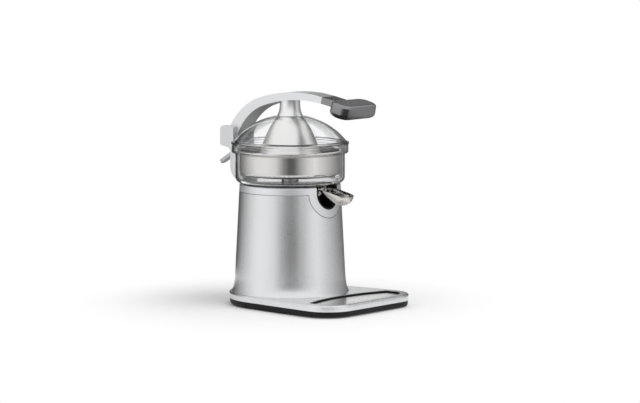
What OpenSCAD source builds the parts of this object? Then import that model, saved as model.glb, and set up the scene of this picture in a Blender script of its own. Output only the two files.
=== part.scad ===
// Electric citrus press with a press arm, millimetres, +Z up.
// The origin is on the standing surface under the drive axis, and the front faces -Y.

/* [Base] */
// Radius of the round back of the base, about the drive axis
base_back_r = 86; // [84:1:94]
// Width across the front corners of the base
base_w = 194; // [186:1:210]
// Distance from the drive axis to the front edge
base_front = 157; // [150:1:175]
// Radius of the front corners in plan
base_corner_r = 40; // [32:1:46]
// Height that the rubber feet stand proud
foot_proud = 1.5; // [1:0.1:2.5]
// Radius of a rubber foot
foot_r = 7; // [5:0.5:8]
// Height of the black base pan
pan_h = 8; // [7:0.5:11]
// Height of the silver base plate
plate_h = 9; // [8.5:0.5:12]
// Thickness of the top of the base plate
plate_t = 3; // [2.5:0.1:3.5]
// Radius of the rounded top edge of the base plate
plate_edge_r = 3; // [1.5:0.1:3.5]
// Wall of the base pan and of the base plate
base_wall = 2.4; // [2:0.1:3]

/* [Drip tray] */
// Rim left between the drip recess and the edge of the base
tray_rim = 12; // [10:0.5:16]
// Distance from the drive axis to the back of the drip recess
tray_back = 91; // [90:0.5:100]
// Radius of the bowed back edge of the drip recess
tray_bow_r = 250; // [200:5:400]
// Wall of the drip pan
tray_wall = 1.5; // [1.2:0.1:2]
// Depth of the drip plate below the base plate
tray_depth = 2.4; // [2:0.1:4]
// Thickness of the drip plate
drip_t = 1; // [0.8:0.1:1.5]
// Groove round the drip plate
drip_groove = 2.5; // [1.5:0.1:4]

/* [Body] */
// Height of the body's top rim
body_top_z = 170; // [165:1:180]
// Radius of the body at its top rim
body_top_r = 71; // [69:0.5:73]
// Radius of the body above its flare
body_foot_r = 79; // [77:0.5:81]
// Height of the flare at the foot
flare_h = 22; // [12:0.5:26]
// Reach of the flare beyond the body
flare_w = 4; // [2:0.5:5.5]
// Wall of the body shell and of the collar
body_wall = 2.5; // [2:0.1:3]
// Height of the collar band above the seam
collar_h = 10; // [8:0.5:12]
// Width of the seam between collar and shell
seam_gap = 0.7; // [0.3:0.05:0.9]
// Thickness of the deck under the bowl
deck_t = 3; // [2.5:0.1:4]
// Depth of the deck below the rim
deck_drop = 2; // [1.5:0.1:2.5]

/* [Spout] */
// Half width of the opening of the spout well
well_half_w = 22; // [21:0.25:24]
// Width of the bib round the well
bib_w = 11.5; // [9:0.5:13]
// Distance from the drive axis to the inside of the well's back wall
well_back = 45; // [43:0.5:47]
// Wall of the spout well
well_wall = 2; // [1.6:0.1:2.2]
// Outer radius of the spout trough
spout_r = 16; // [15:0.25:17]
// Wall of the spout
spout_wall = 1.2; // [1:0.1:1.6]
// Distance from the drive axis to the spout's tip
spout_reach = 111; // [106:1:120]
// Fall of the spout towards its tip, in degrees
spout_fall = 12.4; // [10:0.2:14]
// Radius of the spout's hinge pins
spout_pin_r = 2; // [1.5:0.1:2.4]

/* [Bowl, strainer and lid] */
// Outer radius of the bowl's wall
bowl_r = 77; // [76:0.5:78]
// Height of the underside of the bowl above the body's rim
bowl_gap = 1; // [0.8:0.1:1.5]
// Radius of the bowl's bottom corner
bowl_corner_r = 9; // [7:0.5:11]
// Height of the bowl's top edge
bowl_top_z = 226; // [224:0.5:228]
// Height of the wider collar at the bowl's top
bowl_collar_h = 12; // [10:0.5:13]
// Outer radius of the bowl's collar
bowl_collar_r = 82; // [81:0.25:82.5]
// Wall of the clear bowl
bowl_wall = 2.5; // [2:0.1:3]
// Outer radius of the strainer's wall
strainer_r = 71; // [68:0.5:72]
// Height of the strainer's floor above the bowl's underside
strainer_lift = 11; // [9:0.5:13]
// Sheet of the strainer
strainer_t = 1; // [0.8:0.1:1.2]
// Radius of one strainer hole
strainer_hole_r = 1.5; // [1:0.1:2]
// Number of holes round the strainer's corner
strainer_corner_n = 64; // [40:2:80]
// Outer radius of the lid's flange
lid_r = 83; // [82.5:0.1:83.5]
// Thickness of the lid's flange
lid_flange_t = 3; // [2.5:0.1:4]
// Radius of the lid's dome
dome_r = 102; // [98:0.5:106]
// Height of the dome's crown, where the neck clamps the lid
dome_top_z = 265.2; // [263:0.1:268]
// Wall of the lid
lid_wall = 2.2; // [1.8:0.1:2.6]

/* [Press arm] */
// Distance from the drive axis to the hinge pin
pivot_y = 100; // [99:0.5:104]
// Height of the hinge pin
pivot_z = 233; // [232:0.5:236]
// Radius of the hinge pin
hinge_pin_r = 4; // [3:0.1:5]
// Radius of the arm's hub
hub_r = 11; // [10:0.25:11.5]
// Width of the arm
arm_w = 28.4; // [24:0.2:32]
// Height of the arm's highest point
arm_top_z = 299.7; // [297:0.1:304]
// Distance from the drive axis to the end of the silver arm
arm_front = 70; // [64:1:76]
// Thickness of the arm at the grip
arm_t_front = 9.5; // [8:0.25:11]
// Thickness of the arm at the hub
arm_t_hub = 17.5; // [15:0.25:19]
// Thickness of one ear of the hinge bracket
ear_t = 6.5; // [5:0.25:8]
// Length of the cross bar of the grip
grip_l = 72; // [60:1:80]
// Depth of the cross bar from front to back
grip_d = 33; // [28:0.5:38]
// Height of the cross bar
grip_h = 21; // [18:0.5:23]
// Length of the grip's neck
grip_neck = 33; // [28:0.5:36]

/* [Bell and reamer] */
// Radius of the bell at its crown
bell_top_r = 17.5; // [16.5:0.1:17.6]
// Radius of the bell at its rim
bell_rim_r = 43.5; // [41:0.5:46]
// Height of the bell's rim
bell_rim_z = 211; // [208:0.5:214]
// Sheet of the bell
bell_t = 1.2; // [1:0.1:1.6]
// Radius of the neck at the arm
neck_r = 14.2; // [13.5:0.1:15]
// Radius of the stud that holds the bell
stud_r = 3; // [2.5:0.1:3.5]
// Radius of the reamer's skirt
reamer_r = 36; // [33:0.5:37]
// Height of the reamer's tip
reamer_tip_z = 243; // [238:0.5:246]
// Number of ribs on the reamer
reamer_ribs = 10; // [6:1:14]
// Height that a rib stands proud
rib_h = 1.6; // [1:0.1:2.2]

/* [Drive] */
// Radius of the drive spindle
spindle_r = 4; // [3.5:0.1:4.5]
// Travel of the spindle when the reamer is pressed
press_travel = 1.2; // [0.8:0.1:1.3]
// Gear module
gear_m = 1; // [0.95:0.01:1.02]
// Teeth of a pinion
pinion_n = 12; // [12:2:12]
// Teeth of a wheel
wheel_n = 48; // [48:4:48]
// Pressure angle of the teeth
gear_pa = 25; // [24:0.5:26]
// Thinning of each tooth for backlash
backlash = 0.25; // [0.15:0.01:0.35]
// Face width of a wheel
wheel_t = 5; // [4:0.25:5.5]
// Radius of the idler pin and of the motor shaft
shaft_r = 2.5; // [2:0.1:3]
// Radius of the motor
motor_r = 26; // [22:0.5:27]
// Length of the motor
motor_l = 68; // [50:1:80]
// Wall of the gearbox
gearbox_wall = 2.5; // [2:0.1:3]
// Height of the gearbox floor
gearbox_z = 130; // [129:0.5:132]

/* [Hidden] */
$fn = 96;

// Clearances
run_fit = 0.05;
slip_fit = 0.2;
press_gap = 0.02;
soft_gap = 0.3;
blind_gap = 0.5;
cut = 1;

// Base
base_z = foot_proud;
pan_top = base_z + pan_h;
base_top = pan_top + plate_h;
corner_x = base_w / 2 - base_corner_r;
corner_y = -(base_front - base_corner_r);
corner_d = norm([corner_x, corner_y]);
side_a = atan2(corner_y, corner_x) + acos((base_back_r - base_corner_r) / corner_d);
slice_t = 0.02;
pan_inset = 1;
pan_low_inset = 2.5;
pan_bevel_h = 2;
foot_spots = [[40, -140], [68, -30], [45, 58]];
base_screw_spots = [[84, -76], [58, 45]];
base_screw_r = 2;
base_screw_in = 4.5;
foot_seat = 1;
foot_edge = 0.8;
boss_r = 5;
screw_head_h = 2.5;
screw_head_r = 3.6;

// Drip tray
drip_top = base_top - tray_depth;
post_spots = [[50, -125], [25, -110]];
post_r = 4;
drip_rim_drop = 0.6;
drip_ledge = 3;

// Body
body_h = body_top_z - base_top;
seam_z = body_top_z - collar_h;
deck_top = body_top_z - deck_drop;
deck_z = deck_top - deck_t;
bib_r = well_half_w + bib_w;
top_edge = 1;
flange_w = 12;
flange_t = 4;
tongue_t = 2;
tongue_h = 14;
tongue_r = body_top_r - body_wall - slip_fit;
body_screw_r = 2;
body_screw_d = body_foot_r - 9;
gland_r = 5;
gland_lip_r = gland_r + 2;
gland_lip_t = 5;
gland_in = 8;
gland_bore_r = 3.2;
gland_floor = 4;
gland_z = base_top + flare_h + gland_lip_r + cut;
body_reach = body_foot_r + flare_w + cut;

// Spout
spout_pin_y = -62;
spout_pin_z = body_top_z - 10;
spout_axis_z = body_top_z - 1.7;
spout_back_y = -52;
spout_rim_z = body_top_z - 4;
lug_r = 4.5;
lug_gap = 0.6;
spout_pin_in = 2.6;
spout_l = (spout_reach + spout_back_y) / cos(spout_fall);

// Bowl, strainer and lid
bowl_z = body_top_z + bowl_gap;
bowl_flat_r = bowl_r - bowl_corner_r;
ledge_z = bowl_top_z - bowl_collar_h + bowl_wall;
collar_in_r = bowl_collar_r - bowl_wall - 0.5;
strainer_lip_r = collar_in_r - 0.5;
tube_r = 12;
tube_top = bowl_z + 25;
outlet_y = -60;
outlet_r = 5.5;
outlet_wall = 1.5;
bowl_ring_t = 4;
bowl_ring_r = bowl_flat_r - 2;
bowl_ring_gap = 2;
bowl_step = 1;
outlet_z = body_top_z - 7;
strainer_z = bowl_z + strainer_lift;
strainer_corner = 8;
strainer_corner_c = [strainer_r - strainer_corner, strainer_z + strainer_corner];
hub_wall = 1.5;
strainer_hub_r = tube_r + 0.8;
strainer_hub_top = tube_top + 4;
strainer_rings = [[26, 16], [38, 24], [50, 32]];
strainer_corner_hole_r = 1.3;
strainer_corner_a = 38;
lid_top = bowl_top_z + lid_flange_t;
crown_r = 22;
lid_hole_r = stud_r + run_fit;
dome_c = dome_top_z - sqrt(pow(dome_r, 2) - pow(crown_r, 2));
dome_foot_r = sqrt(pow(dome_r, 2) - pow(lid_top - dome_c, 2));
skirt_h = 4;
skirt_t = 1.8;
skirt_gap = 1.2;
lid_edge = 1;

// Bell, neck and reamer
bell_top_z = dome_top_z - lid_wall;
bell_shoulder = [7.7, -5.1];
bell_waist = [-6.6, 22.1];
neck_seat_gap = 1;
neck_boss_h = 1.6;
neck_foot_r = 18;
stud_head_r = 7;
stud_head_h = 4;
stud_grip = 7;
reamer_z = strainer_z + strainer_t + press_travel + 3.8;
reamer_skirt_h = 5;
reamer_belly = [-3, 30];
reamer_nose = [14, -14];
rib_turn = 6;
rib_root_r = 10;
reamer_cave_r = strainer_hub_r + hub_wall + 1.7;
reamer_cave_z = strainer_hub_top + press_travel + 1.8;
spindle_top = reamer_cave_z + 16;

// Press arm: one long flat arc, then a tighter bend down to the hub
arm_flat_r = 240;
arm_bend_r = 95;
arm_crown_y = -25;
arm_join_a = 17;
arm_end_a = 62;
arm_front_a = -asin((arm_front + arm_crown_y) / arm_flat_r);
arm_flat_c = [arm_crown_y, arm_top_z - arm_flat_r];
arm_bend_c = arm_flat_c + (arm_flat_r - arm_bend_r) * [sin(arm_join_a), cos(arm_join_a)];
neck_a = asin(-arm_crown_y / arm_flat_r);
neck_top_z = arm_pt(neck_a, arm_t(neck_a))[1] - neck_boss_h;
stud_top = neck_top_z + stud_grip;
grip_lap = 3;
grip_rise = 3;
grip_lean = 3;
grip_top_r = 4;
grip_low_r = 7;
grip_corner_r = 11;
grip_low_corner_r = 10;
grip_screw_spots = [-6, -14];
grip_screw_r = 1.5;
grip_head_r = 2.7;
grip_head_h = 1.5;
grip_head_in = 1;
tang_w = 16;
tang_l = 20;
tang_t = 4;
tang_root = 3;
bush_t = 1.5;

// Hinge bracket
ear_in = arm_w / 2 + soft_gap;
ear_out = ear_in + ear_t;
ear_skin = 2;
head_back = pivot_y + 13;
head_front = pivot_y - 12;
head_top = pivot_z + 14;
head_low = pivot_z - 17;
slot_z = pivot_z - hub_r - 1.5;
column_back = pivot_y - 6;
bracket_foot_z = body_top_z - 24;
bracket_in_r = lid_r + 1.5;
pad_back = body_top_r + 3.5;
pad_depth = 14.5;
pad_edge = 4;
column_bend_r = 20;
head_edge = 3;
head_low_r = 4;
head_top_r = 7;
bracket_screw_x = 12;
bracket_screw_z = seam_z - 6;
bracket_screw_r = 2;
bracket_screw_end = pad_back - 2.5;
bracket_seat_y = tongue_r - tongue_t - soft_gap;
lever_pin_y = column_back + 5;
lever_pin_z = head_low - 5;
lever_pin_r = 1.8;
lever_w = 12;
lever_l = 35;
lever_t = 4.5;
lever_drop = 33;
lever_lug_r = 4.5;
lever_lug_t = 4;

// Drive
pitch_wheel = gear_m * wheel_n / 2;
pitch_pinion = gear_m * pinion_n / 2;
centre_d = pitch_wheel + pitch_pinion;
idler_at = [0, centre_d];
motor_at = [centre_d, centre_d];
gear_room = pitch_wheel + gear_m + 1.5;
floor_t = 3;
floor_top = gearbox_z + floor_t;
cup_z = floor_top + press_travel + 0.1;
cup_r = 8;
cup_h = 3.5;
cup_seat = 1.5;
stem_r = 3.4;
stem_l = 8;
spindle_z = cup_z + cup_seat;
big_z = cup_z + cup_h + 0.7;
out_z = big_z + wheel_t + press_travel + 3.8;
bush_z = out_z + wheel_t + 3.5;
bush_r = 6.5;
boss_top = deck_top + 20;
boss_out_r = 8.8;
seal_h = 2.5;
pillar_r = 4;
pillar_screw_r = 1.5;
pillar_d = gear_room + gearbox_wall / 2 + pillar_r;
pillar_spots = [
    [-sqrt(pow(pillar_d, 2) - pow(centre_d / 2, 2)), centre_d / 2],
    pillar_d * [cos(20), -sin(20)],
    [0, -pillar_d]
];
motor_screw_at = 13;
motor_screw_spots = motor_screw_at * [[1, 1], [1, -1]];
pinion_room = 2 * pitch_pinion;
pinion_over = 2;
shaft_in = 20;
motor_cap_h = 4;
motor_screw_in = 5;
gearbox_screw_in = 12;
small_head_r = 2.8;
small_head_h = 1.8;
switch_w = 20;
switch_d = 10;
switch_y = -16;
leaf_w = 6;
leaf_l = 11;
leaf_t = 1;
leaf_y = -7;
leaf_gap = 0.3;

// Point at radius r and angle a, and points along an arc
function polar(r, a) = r * [cos(a), sin(a)];
function arc(c, r, a0, a1, n) = [for (i = [0:n]) c + polar(r, a0 + (a1 - a0) * i / n)];

// Points along a cubic curve, and the same curve moved sideways by d
function cubic(p, t) =
    pow(1 - t, 3) * p[0] + 3 * t * pow(1 - t, 2) * p[1] + 3 * t * t * (1 - t) * p[2] + pow(t, 3) * p[3];
function cubic_dir(p, t) =
    3 * pow(1 - t, 2) * (p[1] - p[0]) + 6 * t * (1 - t) * (p[2] - p[1]) + 3 * t * t * (p[3] - p[2]);
function cubic_side(p, t, d) =
    let (v = cubic_dir(p, t), u = v / norm(v)) cubic(p, t) + d * [u[1], -u[0]];

// Plan of the base: a round back, straight sides and two round front corners
function base_plan(inset) = concat(
    arc([0, 0], base_back_r - inset, side_a, 180 - side_a, 48),
    arc([-corner_x, corner_y], base_corner_r - inset, 180 - side_a, 270, 16),
    arc([corner_x, corner_y], base_corner_r - inset, 270, 360 + side_a, 16)
);

// Rectangle with round corners, centred
function round_rect(w, d, r) = concat(
    arc([w / 2 - r, d / 2 - r], r, 0, 90, 8),
    arc([r - w / 2, d / 2 - r], r, 90, 180, 8),
    arc([r - w / 2, r - d / 2], r, 180, 270, 8),
    arc([w / 2 - r, r - d / 2], r, 270, 360, 8)
);

// Radius of the body's outside at a height
function body_r(z) = body_top_r + (body_foot_r - body_top_r) * (body_top_z - z) / body_h;

// Places mirrored to both sides
module both_sides() {
    children();
    mirror([1, 0, 0]) children();
}

// Places on the four diagonals
module four_corners() {
    for (a = [45:90:315]) rotate(a) children();
}

// Cylinder along X, centred on x = 0
module x_rod(r, l) {
    rotate([0, 90, 0]) cylinder(r = r, h = l, center = true);
}

// Outline in the YZ plane, extruded along X and centred
module yz_plate(w) {
    rotate([90, 0, 90]) linear_extrude(w, center = true) children();
}

// Prism along Y with a round lower end and straight sides, from y0 to y1
module u_prism(half_w, top, y0, y1) {
    translate([0, y1, spout_pin_z]) rotate([90, 0, 0]) linear_extrude(y1 - y0) {
        circle(half_w);
        translate([-half_w, 0]) square([2 * half_w, top - spout_pin_z]);
    }
}

module u_cut(half_w) {
    u_prism(half_w, body_top_z + cut, -base_front, -well_back + well_wall);
}

module base_pan() {
    color([0.06, 0.06, 0.065]) difference() {
        union() {
            difference() {
                hull() {
                    translate([0, 0, base_z]) linear_extrude(slice_t) polygon(base_plan(pan_low_inset));
                    translate([0, 0, base_z + pan_bevel_h])
                        linear_extrude(pan_h - pan_bevel_h) polygon(base_plan(pan_inset));
                }
                translate([0, 0, base_z + base_wall])
                    linear_extrude(pan_h) polygon(base_plan(pan_inset + base_wall));
            }
            both_sides() for (p = base_screw_spots) translate([p[0], p[1], base_z])
                cylinder(r = boss_r, h = pan_h);
            both_sides() for (p = post_spots) translate([p[0], p[1], base_z])
                cylinder(r = post_r, h = pan_h);
        }
        translate([0, 0, base_z - cut]) cylinder(r = foot_r + run_fit, h = foot_seat + cut);
        both_sides() for (p = foot_spots) translate([p[0], p[1], base_z - cut])
            cylinder(r = foot_r + run_fit, h = foot_seat + cut);
        both_sides() for (p = base_screw_spots) translate([p[0], p[1], 0]) {
            cylinder(r = base_screw_r + run_fit, h = pan_top + cut);
            cylinder(r = screw_head_r + slip_fit, h = base_z + screw_head_h);
        }
    }
}

module rubber_foot() {
    top = foot_proud + foot_seat;
    rotate_extrude() polygon([
        [0, 0], [foot_r - foot_edge, 0], [foot_r, foot_edge], [foot_r, top], [0, top]
    ]);
}

module rubber_feet() {
    color([0.09, 0.09, 0.09]) union() {
        rubber_foot();
        both_sides() for (p = foot_spots) translate([p[0], p[1], 0]) rubber_foot();
    }
}

module base_plate() {
    color([0.78, 0.79, 0.8]) difference() {
        union() {
            difference() {
                hull() {
                    translate([0, 0, pan_top]) linear_extrude(slice_t) polygon(base_plan(0));
                    for (a = [0:22.5:90])
                        translate([0, 0, base_top - plate_edge_r * (1 - sin(a)) - slice_t])
                            linear_extrude(slice_t) polygon(base_plan(plate_edge_r * (1 - cos(a))));
                }
                translate([0, 0, pan_top - cut])
                    linear_extrude(plate_h - plate_t + cut) polygon(base_plan(base_wall));
            }
            both_sides() for (p = base_screw_spots) translate([p[0], p[1], pan_top])
                cylinder(r = boss_r, h = plate_h - plate_t / 2);
        }
        translate([0, 0, pan_top - cut]) linear_extrude(plate_h + 2 * cut) tray_plan(0);
        both_sides() for (p = base_screw_spots) translate([p[0], p[1], pan_top - cut])
            cylinder(r = base_screw_r + run_fit, h = base_screw_in + blind_gap + cut);
        four_corners() translate([body_screw_d, 0, pan_top - cut])
            cylinder(r = body_screw_r + run_fit, h = plate_h + 2 * cut);
    }
}

module base_screws() {
    color([0.6, 0.6, 0.62]) both_sides() for (p = base_screw_spots) translate([p[0], p[1], base_z]) {
        cylinder(r = screw_head_r, h = screw_head_h);
        cylinder(r = base_screw_r, h = pan_h + base_screw_in);
    }
}

// Plan of the drip recess: the base's own plan moved in, cut by a bowed back edge
module tray_plan(inset) {
    intersection() {
        polygon(base_plan(tray_rim + inset));
        translate([0, -tray_back - tray_bow_r]) circle(tray_bow_r - inset, $fn = 360);
    }
}

module drip_pan() {
    color([0.07, 0.07, 0.075]) difference() {
        translate([0, 0, pan_top]) linear_extrude(plate_h - drip_rim_drop) tray_plan(slip_fit);
        translate([0, 0, drip_top - drip_t]) linear_extrude(plate_h) tray_plan(slip_fit + tray_wall);
        translate([0, 0, pan_top + tray_wall])
            linear_extrude(plate_h) tray_plan(tray_wall + drip_groove + drip_ledge);
    }
}

module drip_plate() {
    color([0.8, 0.8, 0.79]) translate([0, 0, drip_top - drip_t]) linear_extrude(drip_t)
        tray_plan(tray_wall + drip_groove);
}

// Solid of revolution with the body's outside
module body_solid() {
    z1 = base_top + flare_h;
    p = [
        [body_r(z1), z1],
        [body_r(z1 - 0.4 * flare_h), z1 - 0.4 * flare_h],
        [body_foot_r + 0.2 * flare_w, base_top + 0.2 * flare_h],
        [body_foot_r + flare_w, base_top]
    ];
    rotate_extrude() polygon(concat(
        [[0, base_top], [0, body_top_z]],
        [[body_top_r - top_edge, body_top_z], [body_r(body_top_z - top_edge), body_top_z - top_edge]],
        [for (i = [0:10]) cubic(p, i / 10)]
    ));
}

// Hollow inside the body's wall
module body_hollow() {
    translate([0, 0, base_top])
        cylinder(r1 = body_foot_r - body_wall, r2 = body_top_r - body_wall, h = body_h);
}

module body_shell() {
    rail_r = body_r(seam_z) - body_wall / 2;
    rail_top = seam_z - seam_gap - cut;
    color([0.76, 0.77, 0.785]) difference() {
        union() {
            difference() {
                body_solid();
                body_hollow();
                translate([0, 0, seam_z - seam_gap]) cylinder(r = body_reach, h = body_h);
            }
            translate([0, 0, base_top]) difference() {
                cylinder(r = body_foot_r - body_wall / 2, h = flange_t);
                translate([0, 0, -cut])
                    cylinder(r = body_foot_r - body_wall - flange_w, h = flange_t + 2 * cut);
            }
            translate([0, 0, deck_z - tongue_h]) difference() {
                union() {
                    cylinder(r = tongue_r, h = tongue_h);
                    cylinder(r = rail_r, h = rail_top - deck_z + tongue_h);
                }
                translate([0, 0, -cut]) cylinder(r = tongue_r - tongue_t, h = tongue_h + 2 * cut);
            }
        }
        u_prism(bib_r + seam_gap, body_top_z + cut, -base_front, -well_back + well_wall);
        four_corners() translate([body_screw_d, 0, base_top - cut])
            cylinder(r = body_screw_r + run_fit, h = flange_t + 2 * cut);
        translate([0, 0, gland_z]) rotate([-90, 0, 0]) cylinder(r = gland_r + run_fit, h = body_reach);
        both_sides() translate([bracket_screw_x, 0, bracket_screw_z]) rotate([-90, 0, 0]) {
            cylinder(r = bracket_screw_r + run_fit, h = body_reach);
            cylinder(r = screw_head_r + slip_fit, h = bracket_seat_y);
        }
    }
}

module body_screws() {
    color([0.6, 0.6, 0.62]) four_corners() translate([body_screw_d, 0, base_top - plate_t]) {
        translate([0, 0, -screw_head_h]) cylinder(r = screw_head_r, h = screw_head_h);
        cylinder(r = body_screw_r, h = plate_t + flange_t);
    }
}

module cord_gland() {
    seat_y = body_r(gland_z - gland_lip_r) + slip_fit;
    color([0.08, 0.08, 0.08]) difference() {
        translate([0, seat_y, gland_z]) rotate([-90, 0, 0]) {
            translate([0, 0, -gland_in]) cylinder(r = gland_r, h = gland_in + cut);
            cylinder(r1 = gland_lip_r, r2 = gland_r + cut / 2, h = gland_lip_t);
        }
        translate([0, seat_y - gland_floor, gland_z]) rotate([-90, 0, 0])
            cylinder(r = gland_bore_r, h = gland_floor + gland_lip_t + cut);
    }
}

module top_collar() {
    color([0.79, 0.8, 0.81]) difference() {
        union() {
            difference() {
                intersection() {
                    body_solid();
                    union() {
                        translate([0, 0, seam_z]) cylinder(r = body_reach, h = collar_h + cut);
                        u_prism(bib_r, body_top_z, -base_front, -well_back);
                    }
                }
                body_hollow();
            }
            translate([0, 0, deck_z]) cylinder(r = body_top_r - body_wall / 2, h = deck_t);
            translate([0, 0, bush_z]) cylinder(r = boss_out_r, h = boss_top - bush_z);
        }
        u_cut(well_half_w + slip_fit);
        translate([0, 0, bush_z - cut]) cylinder(r = bush_r + run_fit, h = boss_top);
        for (p = pillar_spots) translate([p[0], p[1], deck_z - cut])
            cylinder(r = pillar_screw_r + run_fit, h = deck_t + 2 * cut);
    }
}

module spout_well() {
    inner_r = well_half_w - well_wall;
    color([0.05, 0.05, 0.055]) difference() {
        intersection() {
            body_solid();
            u_prism(well_half_w, deck_top, -base_front, -well_back + well_wall);
        }
        u_prism(inner_r, body_top_z + cut, -base_front, -well_back);
        translate([0, spout_pin_y, spout_pin_z]) x_rod(spout_pin_r + run_fit / 2, 2 * base_w);
    }
}

module spout_pins() {
    pin_l = well_half_w - spout_r + spout_pin_in;
    color([0.75, 0.75, 0.75]) both_sides()
        translate([well_half_w - pin_l / 2, spout_pin_y, spout_pin_z]) x_rod(spout_pin_r, pin_l);
}

module spout() {
    lug_x = well_half_w - well_wall - lug_gap;
    color([0.8, 0.79, 0.77]) difference() {
        union() {
            spout_scoop(spout_r, 0, spout_l);
            both_sides() translate([(lug_x + spout_r / 2) / 2, spout_pin_y, spout_pin_z])
                x_rod(lug_r, lug_x - spout_r / 2);
        }
        spout_scoop(spout_r - spout_wall, spout_wall, spout_l - spout_wall);
        spout_top_cut();
        translate([0, spout_pin_y, spout_pin_z]) x_rod(spout_pin_r + run_fit, base_w);
    }
}

// Round trough with a ball end, about the spout's sloping axis
module spout_scoop(r, start, end) {
    translate([0, spout_back_y, spout_axis_z + (spout_back_y - spout_pin_y) * tan(spout_fall)])
        rotate([90 + spout_fall, 0, 0]) rotate_extrude()
            polygon(concat([[0, start], [r, start]], arc([0, end - r], r, 0, 90, 16)));
}

// Everything above the trough's rim
module spout_top_cut() {
    translate([0, spout_back_y, spout_axis_z + (spout_back_y - spout_pin_y) * tan(spout_fall)])
        rotate([spout_fall, 0, 0]) translate([-base_w / 2, -base_front, 0])
            cube([base_w, 2 * base_front, spout_reach]);
    translate([-base_w / 2, -base_front, spout_rim_z]) cube([base_w, 2 * base_front, spout_reach]);
}

// Side view of the hinge bracket: pad on the body, column and head
module bracket_side() {
    core_y = pad_back - pad_depth;
    polygon(concat(
        [[core_y, bracket_foot_z], [pad_back - pad_edge, bracket_foot_z]],
        [[pad_back, bracket_foot_z + pad_edge], [pad_back, body_top_z - pad_edge]],
        arc([column_back - column_bend_r, body_top_z + column_bend_r], column_bend_r, -60, 0, 10),
        [[column_back, head_low - head_edge], [column_back + head_edge, head_low]],
        arc([head_back - head_low_r, head_low + 1.5 * head_low_r], head_low_r, -60, 0, 4),
        arc([head_back - head_top_r, head_top - head_top_r], head_top_r, 0, 90, 8),
        arc([head_front + head_edge, head_top - head_edge], head_edge, 90, 180, 6),
        [[head_front, ledge_z], [core_y, ledge_z]]
    ));
}

module hinge_bracket() {
    color([0.8, 0.81, 0.82]) difference() {
        union() {
            difference() {
                yz_plate(2 * ear_out) bracket_side();
                translate([0, 0, bowl_z + bowl_corner_r - 2]) cylinder(r = bracket_in_r, h = body_h);
                translate([0, 0, body_top_z - top_edge])
                    cylinder(r1 = body_top_r + blind_gap, r2 = bracket_in_r, h = bowl_corner_r + slice_t);
                translate([0, 0, base_top])
                    cylinder(r1 = body_foot_r + run_fit, r2 = body_top_r + run_fit, h = body_h);
            }
            both_sides() translate([lever_w / 2 + soft_gap + lever_lug_t / 2, lever_pin_y, lever_pin_z]) {
                x_rod(lever_lug_r, lever_lug_t);
                translate([-lever_lug_t / 2, column_back - lever_pin_y - 2, -lever_lug_r])
                    cube([lever_lug_t, lever_pin_y - column_back + 2, 2 * lever_lug_r]);
            }
        }
        translate([-ear_in, 0, slot_z]) cube([2 * ear_in, base_front, body_top_z]);
        translate([0, pivot_y, pivot_z])
            x_rod(hinge_pin_r + run_fit / 2, 2 * (ear_out - ear_skin + slip_fit));
        translate([0, lever_pin_y, lever_pin_z]) x_rod(lever_pin_r + run_fit / 2, base_w);
        both_sides() translate([bracket_screw_x, 0, bracket_screw_z]) rotate([-90, 0, 0])
            cylinder(r = bracket_screw_r + run_fit, h = bracket_screw_end + blind_gap);
    }
}

module bracket_screws() {
    head_y = bracket_seat_y - screw_head_h;
    color([0.6, 0.6, 0.62]) both_sides()
        translate([bracket_screw_x, head_y, bracket_screw_z]) rotate([-90, 0, 0]) {
            cylinder(r = screw_head_r, h = screw_head_h);
            cylinder(r = bracket_screw_r, h = bracket_screw_end - head_y);
        }
}

module hinge_pin() {
    color([0.7, 0.7, 0.71]) translate([0, pivot_y, pivot_z])
        x_rod(hinge_pin_r, 2 * (ear_out - ear_skin));
}

module release_lever() {
    color([0.62, 0.62, 0.63]) translate([0, lever_pin_y, lever_pin_z]) difference() {
        union() {
            x_rod(lever_lug_r - 0.5, lever_w);
            rotate([-lever_drop, 0, 0]) translate([0, 0, -lever_t / 2]) linear_extrude(lever_t)
                polygon(concat(
                    [[lever_w / 2 - 1, 0], [1 - lever_w / 2, 0]],
                    arc([0, lever_l - lever_w / 2], lever_w / 2, 180, 0, 16)
                ));
        }
        x_rod(lever_pin_r + run_fit, base_w);
    }
}

module lever_pin() {
    color([0.6, 0.6, 0.61]) translate([0, lever_pin_y, lever_pin_z])
        x_rod(lever_pin_r, lever_w + 2 * soft_gap + 2 * lever_lug_t);
}

// Point of the arm's side view at tangent angle a, d below its top
function arm_pt(a, d) = a < arm_join_a
    ? arm_flat_c + polar(arm_flat_r - d, 90 - a)
    : arm_bend_c + polar(arm_bend_r - d, 90 - a);
function arm_t(a) =
    arm_t_front + (arm_t_hub - arm_t_front) * (a - arm_front_a) / (arm_end_a - arm_front_a);
function arm_step(i) = arm_front_a + (arm_end_a - arm_front_a) * i / 36;

// The arm's frame at its front end: Y runs back along the arm, Z up
module at_arm_front() {
    p = arm_pt(arm_front_a, arm_t_front / 2);
    translate([0, p[0], p[1]]) rotate([-arm_front_a, 0, 0]) children();
}

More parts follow.
